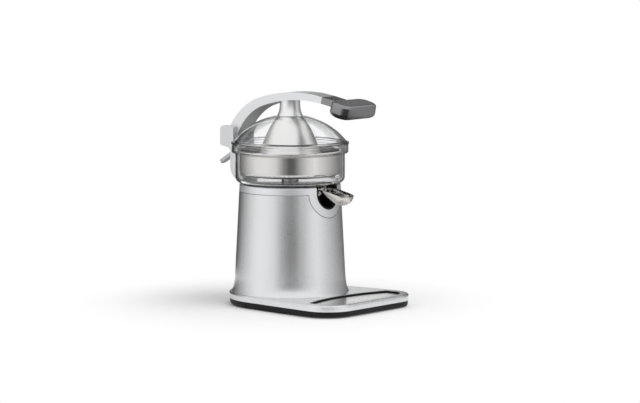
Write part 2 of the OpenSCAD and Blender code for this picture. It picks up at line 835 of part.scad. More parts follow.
module press_arm() {
    color([0.84, 0.845, 0.85]) difference() {
        union() {
            yz_plate(arm_w) polygon(concat(
                [for (i = [0:36]) arm_pt(arm_step(i), 0)],
                [[pivot_y, pivot_z]],
                [for (i = [36:-1:0]) arm_pt(arm_step(i), arm_t(arm_step(i)))]
            ));
            translate([0, pivot_y, pivot_z]) x_rod(hub_r, arm_w);
            translate([0, 0, neck_top_z]) cylinder(r = arm_w / 2 - slip_fit, h = arm_t_front / 2);
            at_arm_front() translate([-tang_w / 2, -tang_l, -tang_t / 2])
                cube([tang_w, tang_l + tang_root, tang_t]);
        }
        translate([0, pivot_y, pivot_z]) x_rod(hinge_pin_r + bush_t, base_w);
        translate([0, 0, dome_top_z]) cylinder(r = neck_r + neck_seat_gap, h = neck_top_z - dome_top_z);
        translate([0, 0, neck_top_z - cut])
            cylinder(r = stud_r + run_fit, h = stud_top - neck_top_z + cut + slip_fit);
        at_arm_front() for (s = grip_screw_spots) translate([0, s, -tang_t])
            cylinder(r = grip_screw_r + run_fit, h = 2 * tang_t);
    }
}

module arm_bushes() {
    color([0.55, 0.42, 0.22]) both_sides() translate([arm_w / 4 + 1, pivot_y, pivot_z]) difference() {
        x_rod(hinge_pin_r + bush_t - press_gap, arm_w / 2 - 2);
        x_rod(hinge_pin_r + run_fit, base_w);
    }
}

// One level slice of the grip's cross bar, its outline moved in by d
module grip_slice(z, d, corner_r) {
    translate([0, 0, z]) linear_extrude(slice_t)
        polygon(round_rect(grip_l - 2 * d, grip_d - 2 * d, corner_r));
}

// Cross bar of the grip: a block with round corners, a soft top edge and a rounder underside
module grip_bar() {
    top_z = grip_h / 2 - slice_t;
    hull() for (a = [0:22.5:90]) {
        grip_slice(top_z - grip_top_r * (1 - sin(a)), grip_top_r * (1 - cos(a)), grip_corner_r);
        grip_slice(grip_low_r * (1 - sin(a)) - grip_h / 2, grip_low_r * (1 - cos(a)), grip_low_corner_r);
    }
}

module arm_grip() {
    color([0.3, 0.3, 0.31]) at_arm_front() difference() {
        union() {
            translate([-arm_w / 2, -grip_neck, -arm_t_front / 2]) cube([arm_w, grip_neck, arm_t_front]);
            translate([0, -grip_neck - grip_d / 2 + grip_lap, arm_t_front / 2 - grip_h / 2 + grip_rise])
                rotate([grip_lean, 0, 0]) grip_bar();
        }
        translate([-tang_w / 2 - run_fit, -tang_l - soft_gap, -tang_t / 2 - run_fit])
            cube([tang_w + 2 * run_fit, tang_l + tang_root, tang_t + 2 * run_fit]);
        for (s = grip_screw_spots) translate([0, s, -arm_t_front]) {
            cylinder(r = grip_screw_r + run_fit, h = arm_t_front + tang_t / 2);
            cylinder(r = grip_head_r + 2 * run_fit, h = arm_t_front / 2 + grip_head_in);
        }
    }
}

module grip_screws() {
    head_z = grip_head_in - grip_head_h - arm_t_front / 2;
    color([0.3, 0.3, 0.3]) at_arm_front() for (s = grip_screw_spots) translate([0, s, head_z]) {
        cylinder(r = grip_head_r, h = grip_head_h);
        cylinder(r = grip_screw_r, h = arm_t_front / 2 + tang_t / 2);
    }
}

module bell_neck() {
    h = neck_top_z - dome_top_z;
    p = [
        [neck_r, neck_top_z],
        [neck_r, neck_top_z - 0.4 * h],
        [neck_r + 0.6, dome_top_z + 0.3 * h],
        [neck_foot_r, dome_top_z]
    ];
    color([0.82, 0.83, 0.84]) difference() {
        rotate_extrude() polygon(concat(
            [[0, dome_top_z], [0, neck_top_z]],
            [for (i = [0:12]) cubic(p, i / 12)]
        ));
        cylinder(r = stud_r + run_fit, h = arm_top_z);
    }
}

module bell_stud() {
    head_z = bell_top_z - bell_t - stud_head_h;
    color([0.66, 0.66, 0.67]) union() {
        translate([0, 0, head_z]) cylinder(r = stud_head_r, h = stud_head_h);
        translate([0, 0, head_z]) cylinder(r = stud_r, h = stud_top - head_z);
    }
}

module press_bell() {
    p = [
        [bell_top_r, bell_top_z],
        [bell_top_r, bell_top_z] + bell_shoulder,
        [bell_rim_r, bell_rim_z] + bell_waist,
        [bell_rim_r, bell_rim_z]
    ];
    color([0.8, 0.8, 0.79]) difference() {
        rotate_extrude() polygon(concat(
            [[0, bell_top_z]],
            [for (i = [0:24]) cubic(p, i / 24)],
            [for (i = [24:-1:1]) cubic_side(p, i / 24, bell_t)],
            [[bell_top_r - bell_t, bell_top_z - bell_t], [0, bell_top_z - bell_t]]
        ));
        cylinder(r = stud_r + run_fit, h = arm_top_z);
    }
}

module lid() {
    skirt_r = collar_in_r - skirt_gap;
    in_r = dome_r - lid_wall;
    foot_a = atan2(lid_top - dome_c, dome_foot_r);
    crown_a = acos(crown_r / dome_r);
    low_a = acos((skirt_r - skirt_t) / in_r);
    top_a = asin((dome_top_z - lid_wall - dome_c) / in_r);
    color([0.86, 0.88, 0.9, 0.35]) rotate_extrude() polygon(concat(
        [[lid_hole_r, dome_top_z], [crown_r, dome_top_z]],
        arc([0, dome_c], dome_r, crown_a, foot_a, 20),
        [[lid_r - lid_edge, lid_top], [lid_r, lid_top - lid_edge], [lid_r, bowl_top_z]],
        [[skirt_r, bowl_top_z], [skirt_r, bowl_top_z - skirt_h]],
        [[skirt_r - skirt_t, bowl_top_z - skirt_h]],
        arc([0, dome_c], in_r, low_a, top_a, 20),
        [[lid_hole_r, dome_top_z - lid_wall]]
    ));
}

// Bowl wall, floor, centre tube and foot ring, turned about the drive axis
module bowl_turned() {
    w = bowl_wall;
    ring_in_r = bowl_ring_r - bowl_ring_t;
    step_z = bowl_top_z - bowl_collar_h;
    corner_c = [bowl_flat_r, bowl_z + bowl_corner_r];
    rotate_extrude() polygon(concat(
        [[tube_r - w, bowl_z], [ring_in_r, bowl_z], [ring_in_r, deck_top]],
        [[bowl_ring_r, deck_top], [bowl_ring_r, bowl_z]],
        arc(corner_c, bowl_corner_r, -90, 0, 8),
        [[bowl_r, step_z - bowl_step], [bowl_collar_r - bowl_step / 2, step_z]],
        [[bowl_collar_r, step_z + bowl_step], [bowl_collar_r, bowl_top_z]],
        [[collar_in_r, bowl_top_z], [collar_in_r, ledge_z], [bowl_r - w, ledge_z]],
        arc(corner_c, bowl_corner_r - w, 0, -90, 8),
        [[tube_r, bowl_z + w], [tube_r, tube_top], [tube_r - w, tube_top]]
    ));
}

module juice_bowl() {
    gap_w = well_half_w + bowl_ring_gap;
    outlet_h = bowl_z - outlet_z;
    color([0.86, 0.88, 0.9, 0.35]) difference() {
        union() {
            difference() {
                bowl_turned();
                translate([-gap_w, -base_front, deck_top - cut])
                    cube([2 * gap_w, base_front - well_back + bowl_ring_gap, bowl_z - deck_top + cut]);
            }
            translate([0, outlet_y, outlet_z]) cylinder(r = outlet_r, h = outlet_h + bowl_wall / 2);
        }
        translate([0, outlet_y, outlet_z - cut])
            cylinder(r = outlet_r - outlet_wall, h = outlet_h + bowl_wall + 2 * cut);
    }
}

// Sheet of the strainer, turned about the drive axis
module strainer_sheet() {
    t = strainer_t;
    hub_out_r = strainer_hub_r + hub_wall;
    rotate_extrude() polygon(concat(
        [[strainer_hub_r, strainer_z]],
        arc(strainer_corner_c, strainer_corner, -90, 0, 8),
        [[strainer_r, ledge_z], [strainer_lip_r, ledge_z]],
        [[strainer_lip_r, ledge_z + t], [strainer_r - t, ledge_z + t]],
        arc(strainer_corner_c, strainer_corner - t, 0, -90, 8),
        [[hub_out_r, strainer_z + t], [hub_out_r, strainer_hub_top], [strainer_hub_r, strainer_hub_top]]
    ));
}

module strainer() {
    color([0.78, 0.78, 0.77]) difference() {
        strainer_sheet();
        for (ring = strainer_rings) for (i = [1:ring[1]]) rotate(360 * i / ring[1])
            translate([ring[0], 0, strainer_z - cut])
                cylinder(r = strainer_hole_r, h = strainer_t + 2 * cut, $fn = 24);
        for (i = [1:strainer_corner_n]) rotate(360 * i / strainer_corner_n)
            translate([strainer_corner_c[0], 0, strainer_corner_c[1]])
                rotate([0, 90 + strainer_corner_a, 0])
                    cylinder(r = strainer_corner_hole_r, h = strainer_corner + cut, $fn = 16);
    }
}

// Pointed dome of the reamer, from its skirt to its tip, grown by d
function reamer_side(d) =
    let (p = [
        [reamer_r + d, reamer_z + reamer_skirt_h],
        [reamer_r + d, reamer_z] + reamer_belly,
        [d, reamer_tip_z] + reamer_nose,
        [d, reamer_tip_z]
    ])
    [for (i = [0:14]) cubic(p, i / 14)];

module reamer() {
    rib_z = reamer_z + reamer_skirt_h;
    color([0.16, 0.16, 0.165]) difference() {
        union() {
            rotate_extrude() polygon(concat([[0, reamer_z], [reamer_r, reamer_z]], reamer_side(0)));
            for (i = [1:reamer_ribs]) rotate(360 * i / reamer_ribs) rotate_extrude(angle = rib_turn)
                polygon(concat([[rib_root_r, rib_z]], reamer_side(rib_h), [[0, rib_z + rib_root_r]]));
        }
        translate([0, 0, reamer_z - cut])
            cylinder(r = reamer_cave_r, h = reamer_cave_z - reamer_z + cut);
        translate([0, 0, reamer_z])
            cylinder(r = spindle_r + run_fit, h = spindle_top + slip_fit - reamer_z);
    }
}

module drive_spindle() {
    color([0.7, 0.7, 0.71]) translate([0, 0, spindle_z])
        cylinder(r = spindle_r, h = spindle_top - spindle_z);
}

module spindle_bush() {
    color([0.6, 0.45, 0.22]) translate([0, 0, bush_z]) difference() {
        cylinder(r = bush_r, h = boss_top - bush_z);
        translate([0, 0, -cut]) cylinder(r = spindle_r + run_fit, h = boss_top);
    }
}

module spindle_seal() {
    color([0.1, 0.1, 0.1]) translate([0, 0, boss_top]) difference() {
        cylinder(r = boss_out_r - soft_gap, h = seal_h);
        translate([0, 0, -cut]) cylinder(r = spindle_r + soft_gap, h = seal_h + 2 * cut);
    }
}

// Involute of a circle of radius b at roll angle a, in degrees
function involute(b, a) = b * [cos(a) + a * PI / 180 * sin(a), sin(a) - a * PI / 180 * cos(a)];
function involute_turn(b, r) = let (a = acos(b / r)) tan(a) * 180 / PI - a;

// Plan of a spur gear with a tooth on +X
module gear_plan(n) {
    r = gear_m * n / 2;
    b = r * cos(gear_pa);
    tip = r + 0.95 * gear_m;
    root = r - 1.2 * gear_m;
    half = 90 / n - backlash / r * 90 / PI + involute_turn(b, r);
    low = max(b, root);
    steps = 4;
    radii = [for (i = [0:steps]) low + (tip - low) * i / steps];
    flank = [for (q = radii) [q, half - (q > b ? involute_turn(b, q) : 0)]];
    polygon([for (k = [0:n - 1]) let (mid = 360 * k / n) each concat(
        [polar(root, mid - half)],
        [for (f = flank) polar(f[0], mid - f[1])],
        [for (i = [steps:-1:0]) polar(flank[i][0], mid + flank[i][1])],
        [polar(root, mid + half)]
    )]);
}

module output_gear() {
    color([0.85, 0.84, 0.78]) translate([0, 0, out_z]) difference() {
        union() {
            linear_extrude(wheel_t) gear_plan(wheel_n);
            cylinder(r = spindle_r + 4, h = wheel_t + 2);
        }
        translate([0, 0, -cut]) cylinder(r = spindle_r + run_fit, h = wheel_t + 4);
    }
}

module idler_gear() {
    small_z = out_z - press_travel - 2;
    color([0.85, 0.84, 0.78]) translate([idler_at[0], idler_at[1], 0]) difference() {
        union() {
            translate([0, 0, floor_top + soft_gap])
                cylinder(r = shaft_r + 2, h = deck_z - floor_top - 2 * soft_gap);
            translate([0, 0, big_z]) rotate(180 / wheel_n) linear_extrude(wheel_t) gear_plan(wheel_n);
            translate([0, 0, small_z]) rotate(180 / pinion_n)
                linear_extrude(wheel_t + press_travel + 4) gear_plan(pinion_n);
        }
        cylinder(r = shaft_r + run_fit, h = body_top_z);
    }
}

module idler_pin() {
    color([0.7, 0.7, 0.71]) translate([idler_at[0], idler_at[1], gearbox_z])
        cylinder(r = shaft_r, h = deck_z - gearbox_z);
}

module motor_pinion() {
    color([0.72, 0.6, 0.3]) translate([motor_at[0], motor_at[1], big_z - pinion_over]) difference() {
        linear_extrude(wheel_t + 2 * pinion_over) gear_plan(pinion_n);
        translate([0, 0, -cut]) cylinder(r = shaft_r + run_fit, h = wheel_t + 2 * pinion_over + 2 * cut);
    }
}

module motor_shaft() {
    color([0.7, 0.7, 0.71]) translate([motor_at[0], motor_at[1], gearbox_z - shaft_in])
        cylinder(r = shaft_r, h = big_z + wheel_t + pinion_over + 1 - gearbox_z + shaft_in);
}

module motor_can() {
    color([0.35, 0.36, 0.38]) translate([motor_at[0], motor_at[1], gearbox_z - motor_l]) difference() {
        union() {
            translate([0, 0, motor_cap_h]) cylinder(r = motor_r, h = motor_l - motor_cap_h);
            cylinder(r = motor_r / 3, h = motor_cap_h + cut);
        }
        translate([0, 0, motor_l - shaft_in - slip_fit])
            cylinder(r = shaft_r + run_fit, h = shaft_in + cut);
        for (p = motor_screw_spots) translate([p[0], p[1], motor_l - motor_screw_in - slip_fit])
            cylinder(r = pillar_screw_r + run_fit, h = motor_screw_in + cut);
    }
}

module motor_screws() {
    color([0.6, 0.6, 0.62]) for (p = motor_screw_spots)
        translate([motor_at[0] + p[0], motor_at[1] + p[1], 0]) {
            translate([0, 0, floor_top]) cylinder(r = small_head_r, h = small_head_h);
            translate([0, 0, gearbox_z - motor_screw_in])
                cylinder(r = pillar_screw_r, h = motor_screw_in + floor_t + small_head_h / 2);
        }
}

// Plan of the gear chamber, with room d outside the gears' own
module gear_chamber(d) {
    circle(gear_room + d);
    translate(idler_at) circle(gear_room + d);
    translate(motor_at) circle(pinion_room + d);
}

module gearbox_housing() {
    color([0.2, 0.2, 0.21]) difference() {
        union() {
            translate([0, 0, gearbox_z]) linear_extrude(deck_z - gearbox_z) gear_chamber(gearbox_wall);
            translate([motor_at[0], motor_at[1], gearbox_z]) cylinder(r = motor_r, h = floor_t);
            for (p = pillar_spots) translate([p[0], p[1], gearbox_z])
                cylinder(r = pillar_r, h = deck_z - gearbox_z);
        }
        translate([0, 0, floor_top]) linear_extrude(deck_z) gear_chamber(0);
        cylinder(r = stem_r + run_fit, h = body_top_z);
        translate([idler_at[0], idler_at[1], 0]) cylinder(r = shaft_r + run_fit / 2, h = body_top_z);
        translate([motor_at[0], motor_at[1], 0]) cylinder(r = shaft_r + 3, h = body_top_z);
        for (p = pillar_spots) translate([p[0], p[1], deck_z - gearbox_screw_in - blind_gap])
            cylinder(r = pillar_screw_r + run_fit, h = gearbox_screw_in + blind_gap + cut);
        for (p = motor_screw_spots) translate([motor_at[0] + p[0], motor_at[1] + p[1], 0])
            cylinder(r = pillar_screw_r + run_fit, h = body_top_z);
    }
}

module gearbox_screws() {
    screw_l = gearbox_screw_in + deck_t;
    color([0.6, 0.6, 0.62]) for (p = pillar_spots) translate([p[0], p[1], deck_top - screw_l]) {
        cylinder(r = pillar_screw_r, h = screw_l);
        translate([0, 0, screw_l]) cylinder(r = small_head_r, h = small_head_h);
    }
}

module thrust_cup() {
    color([0.72, 0.72, 0.73]) difference() {
        union() {
            translate([0, 0, cup_z]) cylinder(r = cup_r, h = cup_h);
            translate([0, 0, cup_z - stem_l]) cylinder(r = stem_r, h = stem_l + 1);
        }
        translate([0, 0, spindle_z]) cylinder(r = spindle_r + run_fit, h = cup_h);
    }
}

module spring_washer() {
    color([0.65, 0.65, 0.66]) translate([0, 0, floor_top]) difference() {
        cylinder(r = cup_r - 0.5, h = press_travel + 0.1);
        translate([0, 0, -cut]) cylinder(r = stem_r + 1, h = press_travel + 3);
    }
}

module micro_switch() {
    leaf_z = cup_z - stem_l - press_travel - leaf_gap - leaf_t;
    color([0.12, 0.12, 0.13]) union() {
        translate([-switch_w / 2, switch_y, leaf_z]) cube([switch_w, switch_d, gearbox_z - leaf_z]);
        translate([-leaf_w / 2, leaf_y, leaf_z]) cube([leaf_w, leaf_l, leaf_t]);
    }
}

base_pan();
base_plate();
rubber_feet();
base_screws();
drip_pan();
drip_plate();
body_shell();
body_screws();
cord_gland();
top_collar();
spout_well();
spout_pins();
spout();
hinge_bracket();
bracket_screws();
hinge_pin();
release_lever();
lever_pin();
press_arm();
arm_bushes();
arm_grip();
grip_screws();
bell_neck();
bell_stud();
press_bell();
lid();
juice_bowl();
strainer();
reamer();
drive_spindle();
spindle_bush();
spindle_seal();
output_gear();
idler_gear();
idler_pin();
motor_pinion();
motor_shaft();
motor_can();
motor_screws();
gearbox_housing();
gearbox_screws();
thrust_cup();
spring_washer();
micro_switch();
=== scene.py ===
"""Looks of an electric citrus press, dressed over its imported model."""
import logging
import math
from dataclasses import dataclass, field
from enum import Enum
from typing import Any, Iterable, Mapping, Optional, Sequence, Union

import bmesh
import bpy
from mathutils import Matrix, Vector


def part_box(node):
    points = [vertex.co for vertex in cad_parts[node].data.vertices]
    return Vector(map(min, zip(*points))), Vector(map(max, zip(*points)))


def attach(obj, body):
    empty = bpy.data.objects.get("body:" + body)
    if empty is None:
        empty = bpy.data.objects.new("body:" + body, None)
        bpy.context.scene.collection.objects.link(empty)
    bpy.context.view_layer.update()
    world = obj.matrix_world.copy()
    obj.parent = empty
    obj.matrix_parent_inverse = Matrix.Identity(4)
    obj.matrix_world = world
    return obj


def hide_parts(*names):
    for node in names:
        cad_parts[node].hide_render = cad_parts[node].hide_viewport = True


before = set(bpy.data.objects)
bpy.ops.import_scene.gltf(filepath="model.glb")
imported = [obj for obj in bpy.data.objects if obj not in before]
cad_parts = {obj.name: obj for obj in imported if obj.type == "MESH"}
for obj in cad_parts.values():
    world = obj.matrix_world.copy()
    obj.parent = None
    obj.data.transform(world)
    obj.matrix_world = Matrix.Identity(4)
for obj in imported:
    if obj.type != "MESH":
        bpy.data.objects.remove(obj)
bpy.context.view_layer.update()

LOG = logging.getLogger("citrus_press")
MM = 0.001
WHITE = (1.0, 1.0, 1.0, 1.0)
BLACK = (0.0, 0.0, 0.0, 1.0)

Colour = tuple[float, float, float]
Point = tuple[float, float]


class Wire:
    """A node's output, which does maths with Python operators."""

    def __init__(self, tree: "Tree", socket: Optional[bpy.types.NodeSocket]) -> None:
        """Hold an output socket and the tree that new nodes go into."""
        self.tree = tree
        self.socket = socket

    def _math(self, operation: str, first: Any, second: Any) -> "Wire":
        """Add one Math node on two values or wires."""
        return self.tree.add("ShaderNodeMath", {"operation": operation}, {0: first, 1: second})

    def __add__(self, other: Any) -> "Wire":
        """Sum."""
        return self._math("ADD", self, other)

    __radd__ = __add__

    def __sub__(self, other: Any) -> "Wire":
        """Difference."""
        return self._math("SUBTRACT", self, other)

    def __rsub__(self, other: Any) -> "Wire":
        """Difference from a number."""
        return self._math("SUBTRACT", other, self)

    def __mul__(self, other: Any) -> "Wire":
        """Product."""
        return self._math("MULTIPLY", self, other)

    __rmul__ = __mul__

    def __pow__(self, other: Any) -> "Wire":
        """Power."""
        return self._math("POWER", self, other)

    def larger(self, other: Any) -> "Wire":
        """The larger of two values."""
        return self._math("MAXIMUM", self, other)


class Tree:
    """One node tree of any kind."""

    def __init__(self, group: bpy.types.NodeTree) -> None:
        """Work in a tree, emptied first."""
        self.group = group
        self.group.nodes.clear()

    def add(self, kind: str, settings: Optional[Mapping[str, Any]] = None,
            sockets: Optional[Mapping[Union[str, int], Any]] = None, out: Union[str, int] = 0) -> Wire:
        """Add one node of any kind.

        Args:
            kind: the node's type.
            settings: the node's own settings, set first; "stops" fills a colour ramp.
            sockets: values or wires of its inputs, by name or number.
            out: the output to return.

        Returns:
            A wire from the chosen output, empty where the node has none.
        """
        node = self.group.nodes.new(kind)
        for key, value in (settings or {}).items():
            if key == "stops":
                self._fill_ramp(node.color_ramp, value)
            else:
                setattr(node, key, value)
        for key, value in (sockets or {}).items():
            if isinstance(value, Wire):
                self.group.links.new(value.socket, node.inputs[key])
            else:
                node.inputs[key].default_value = value
        return Wire(self, node.outputs[out] if len(node.outputs) else None)

    @staticmethod
    def _fill_ramp(ramp: bpy.types.ColorRamp, stops: Sequence[Point]) -> None:
        """Set a ramp's grey stops.

        Args:
            ramp: the ramp, which starts with two stops.
            stops: position and grey value of each stop.
        """
        while len(ramp.elements) < len(stops):
            ramp.elements.new(0.5)
        for element, (position, grey) in zip(ramp.elements, stops):
            element.position = position
            element.color = (grey, grey, grey, 1.0)


class ShaderTree(Tree):
    """The node tree of a material or of the world."""

    def __init__(self, owner: Union[bpy.types.Material, bpy.types.World]) -> None:
        """Work in the owner's own tree."""
        owner.use_nodes = True
        super().__init__(owner.node_tree)

    def blend(self, factor: Any, low: Any, high: Any) -> Wire:
        """Mix two colours by the share of the second."""
        return self.add("ShaderNodeMix", {"data_type": "RGBA"}, {0: factor, 6: low, 7: high}, out=2)

    def ramp(self, value: Wire, stops: Sequence[Point]) -> Wire:
        """Grey tones that change with a value, by their stops."""
        return self.add("ShaderNodeValToRGB", {"stops": stops}, {0: value})

    def noise(self, position: Wire, scale: float, detail: float) -> Wire:
        """Smooth noise from 0 to 1, with so many cells per metre and octaves."""
        return self.add("ShaderNodeTexNoise", {}, {"Vector": position, "Scale": scale, "Detail": detail})

    def place(self) -> Wire:
        """Position in the piece's own coordinates."""
        return self.add("ShaderNodeTexCoord", out="Object")

    def stretched(self, position: Wire, scale: Sequence[float]) -> Wire:
        """A position stretched along its three axes."""
        return self.add("ShaderNodeMapping", {}, {"Vector": position, "Scale": scale})

    def coordinate(self, position: Wire, axis: str) -> Wire:
        """A position's X, Y or Z alone."""
        return self.add("ShaderNodeSeparateXYZ", {}, {0: position}, out=axis)

    def from_axis(self, position: Wire) -> Wire:
        """A position's distance from the drive axis."""
        x, y = (self.coordinate(position, axis) for axis in "XY")
        return (x * x + y * y) ** 0.5

    def attribute(self, name: str) -> Wire:
        """A value that the mesh's corners hold."""
        return self.add("ShaderNodeAttribute", {"attribute_name": name}, out="Fac")

    def show(self, shader: Wire, output: str = "ShaderNodeOutputMaterial") -> None:
        """Send a shader to the tree's output."""
        self.add(output, {}, {"Surface": shader})


class Grain(Enum):
    """Kinds of fine surface detail."""

    FLAKE = "lacquer with fine metal flake"
    CAST = "satin casting"
    SPUN = "sheet spun about the drive axis"
    ROLLED = "sheet with straight brush lines"
    MOULDED = "fine moulded texture"
    GROUND = "ground metal"
    CLEAR = "clear moulding"


@dataclass(frozen=True)
class Finish:
    """One finish.

    Attributes:
        name: its name.
        colour: its mean colour.
        roughness: its mean roughness.
        metallic: share of metal.
        grain: kind of grain.
        size: size of the grain, in metres.
        depth: strength of the grain's bump.
        vary: share by which the colour varies.
        clear: share of light that goes through.
        ior: index of refraction.
    """

    name: str
    colour: Colour
    roughness: float
    metallic: float = 0.0
    grain: Grain = Grain.MOULDED
    size: float = 0.5 * MM
    depth: float = 0.12
    vary: float = 0.05
    clear: float = 0.0
    ior: float = 1.46

    # Stretch of the brush lines, which run along X, and of the grinding lines, which run along Z.
    BRUSH_LINES = (0.03, 1.0, 1.0)
    GROUND_LINES = (1.0, 1.0, 0.08)
    # Octaves of noise in lines and clouds, in grinding and in the other grains.
    LINE_DETAIL = 3.0
    GROUND_DETAIL = 2.0
    FINE_DETAIL = 4.0
    # Broad clouds per metre.
    CLOUD_SCALE = 14.0
    # Middle of the patterns, and the share of the roughness that follows each of them.
    HALF = 0.5
    ROUGH_BY_GRAIN = 0.35
    ROUGH_BY_CLOUD = 0.25
    # Height of the bump as a share of the grain's size.
    BUMP_HEIGHT = 0.25

    def _grain(self, tree: ShaderTree, place: Wire) -> Wire:
        """Pattern of the finish's grain, from 0 to 1.

        Args:
            tree: the material's tree.
            place: position on the piece.

        Returns:
            The pattern.
        """
        per_metre = 1.0 / self.size
        if self.grain is Grain.SPUN:
            sockets = {"X": tree.from_axis(place), "Y": tree.coordinate(place, "Z")}
            return tree.noise(tree.add("ShaderNodeCombineXYZ", {}, sockets), per_metre, self.LINE_DETAIL)
        if self.grain is Grain.ROLLED:
            return tree.noise(tree.stretched(place, self.BRUSH_LINES), per_metre, self.LINE_DETAIL)
        if self.grain is Grain.FLAKE:
            sockets = {"Vector": place, "Scale": per_metre}
            cells = tree.add("ShaderNodeTexVoronoi", {"feature": "F1"}, sockets, out="Color")
            return tree.add("ShaderNodeRGBToBW", {}, {0: cells})
        if self.grain is Grain.GROUND:
            return tree.noise(tree.stretched(place, self.GROUND_LINES), per_metre, self.GROUND_DETAIL)
        return tree.noise(place, per_metre, self.FINE_DETAIL)

    def _shade(self, share: float) -> tuple[float, ...]:
        """The finish's colour, paler by a share of it."""
        return tuple(min(1.0, c * (1.0 + share)) for c in self.colour) + (1.0,)

    def material(self) -> bpy.types.Material:
        """The finish as a material, made once.

        Returns:
            The material.
        """
        known = bpy.data.materials.get(self.name)
        if known is not None:
            return known
        made = bpy.data.materials.new(self.name)
        tree = ShaderTree(made)
        place = tree.place()
        grain = self._grain(tree, place)
        cloud = tree.noise(place, self.CLOUD_SCALE, self.LINE_DETAIL)
        tone = grain * self.HALF + cloud * self.HALF
        rough = self.roughness + (grain - self.HALF) * (self.roughness * self.ROUGH_BY_GRAIN)
        rough = rough + (cloud - self.HALF) * (self.roughness * self.ROUGH_BY_CLOUD)
        bump = tree.add("ShaderNodeBump", {}, {
            "Height": grain, "Strength": self.depth, "Distance": self.size * self.BUMP_HEIGHT})
        tree.show(tree.add("ShaderNodeBsdfPrincipled", {}, {
            "Base Color": tree.blend(tone, self._shade(-self.vary), self._shade(self.vary)),
            "Roughness": rough,
            "Metallic": self.metallic,
            "IOR": self.ior,
            "Transmission Weight": self.clear,
            "Normal": bump,
        }))
        return made


SILVER_LACQUER = Finish("silver_lacquer", (0.76, 0.765, 0.775), roughness=0.28, metallic=1.0,
                        grain=Grain.FLAKE, size=0.25 * MM, depth=0.1)
COLLAR_LACQUER = Finish("collar_lacquer", (0.8, 0.805, 0.815), roughness=0.4, metallic=1.0,
                        grain=Grain.FLAKE, size=0.25 * MM, depth=0.08)
BRACKET_CASTING = Finish("bracket_casting", (0.71, 0.715, 0.725), roughness=0.36, metallic=0.85,
                         grain=Grain.CAST, size=0.35 * MM, depth=0.1, vary=0.04)
ARM_CASTING = Finish("arm_casting", (0.81, 0.815, 0.825), roughness=0.34, metallic=0.85,
                     grain=Grain.CAST, size=0.35 * MM, depth=0.1, vary=0.04)
LEVER_CASTING = Finish("lever_casting", (0.52, 0.52, 0.53), roughness=0.38, metallic=0.85,
                       grain=Grain.CAST, size=0.35 * MM)
NECK_CASTING = Finish("neck_casting", (0.86, 0.865, 0.875), roughness=0.33, metallic=1.0,
                      grain=Grain.SPUN, size=0.3 * MM, depth=0.08)
BELL_STEEL = Finish("bell_steel", (0.97, 0.96, 0.94), roughness=0.33, metallic=1.0,
                    grain=Grain.SPUN, size=0.22 * MM, depth=0.04, vary=0.03)
SPUN_STEEL = Finish("spun_steel", (0.74, 0.725, 0.7), roughness=0.14, metallic=1.0,
                    grain=Grain.SPUN, size=0.22 * MM, depth=0.06, vary=0.06)
PLATE_STEEL = Finish("plate_steel", (0.74, 0.735, 0.72), roughness=0.22, metallic=1.0,
                     grain=Grain.ROLLED, size=0.3 * MM, depth=0.08, vary=0.06)
SPOUT_STEEL = Finish("spout_steel", (0.64, 0.62, 0.59), roughness=0.16, metallic=1.0,
                     grain=Grain.ROLLED, size=0.3 * MM, depth=0.05)
BLACK_MOULDING = Finish("black_moulding", (0.008, 0.008, 0.009), roughness=0.5,
                        size=0.4 * MM, depth=0.2, vary=0.15, ior=1.28)
GRIP_MOULDING = Finish("grip_moulding", (0.28, 0.28, 0.287), roughness=0.23, metallic=0.93,
                       size=0.45 * MM, depth=0.06, vary=0.06)
CLEAR_MOULDING = Finish("clear_moulding", (0.985, 0.99, 0.995), roughness=0.03,
                        grain=Grain.CLEAR, size=6 * MM, depth=0.01, vary=0.004, clear=1.0)
REAMER_MOULDING = Finish("reamer_moulding", (0.06, 0.06, 0.063), roughness=0.36, depth=0.14, vary=0.1)
FOOT_RUBBER = Finish("foot_rubber", (0.02, 0.02, 0.02), roughness=0.75, size=0.6 * MM, depth=0.3, vary=0.2)
GROUND_STEEL = Finish("ground_steel", (0.58, 0.58, 0.59), roughness=0.24, metallic=1.0,
                      grain=Grain.GROUND, size=0.3 * MM, depth=0.08, vary=0.06)
SCREW_STEEL = Finish("screw_steel", (0.5, 0.5, 0.505), roughness=0.32, metallic=1.0,
                     grain=Grain.GROUND, size=0.3 * MM, depth=0.1, vary=0.08)
BUSH_BRONZE = Finish("bush_bronze", (0.55, 0.39, 0.17), roughness=0.4, metallic=1.0,
                     grain=Grain.CAST, size=0.3 * MM, depth=0.14, vary=0.1)
GEAR_MOULDING = Finish("gear_moulding", (0.74, 0.71, 0.62), roughness=0.45)
MOTOR_LACQUER = Finish("motor_lacquer", (0.06, 0.06, 0.066), roughness=0.45, metallic=0.3,
                       grain=Grain.FLAKE, size=0.4 * MM, vary=0.1)


def tenths(length: float) -> float:
    """A length of the frame in millimetres, to a tenth."""
    return round(length / MM, 1)


def bezier(ends: Sequence[Point], count: int) -> list[Point]:
    """Points along a cubic curve.

    Args:
        ends: its four control points.
        count: number of spans.

    Returns:
        The points, both ends included.
    """
    points = []
    for i in range(count + 1):
        t = i / count
        weights = ((1 - t) ** 3, 3 * t * (1 - t) ** 2, 3 * t * t * (1 - t), t ** 3)
        x, y = (sum(w * end[axis] for w, end in zip(weights, ends)) for axis in (0, 1))
        points.append((x, y))
    return points


def arc(centre: Point, radius: float, start: float, end: float, count: int) -> list[Point]:
    """Points along an arc.

    Args:
        centre: its centre.
        radius: its radius.
        start: first angle, in degrees.
        end: last angle, in degrees.
        count: number of spans.

    Returns:
        The points, both ends included.
    """
    angles = [math.radians(start + (end - start) * i / count) for i in range(count + 1)]
    return [(centre[0] + radius * math.cos(a), centre[1] + radius * math.sin(a)) for a in angles]


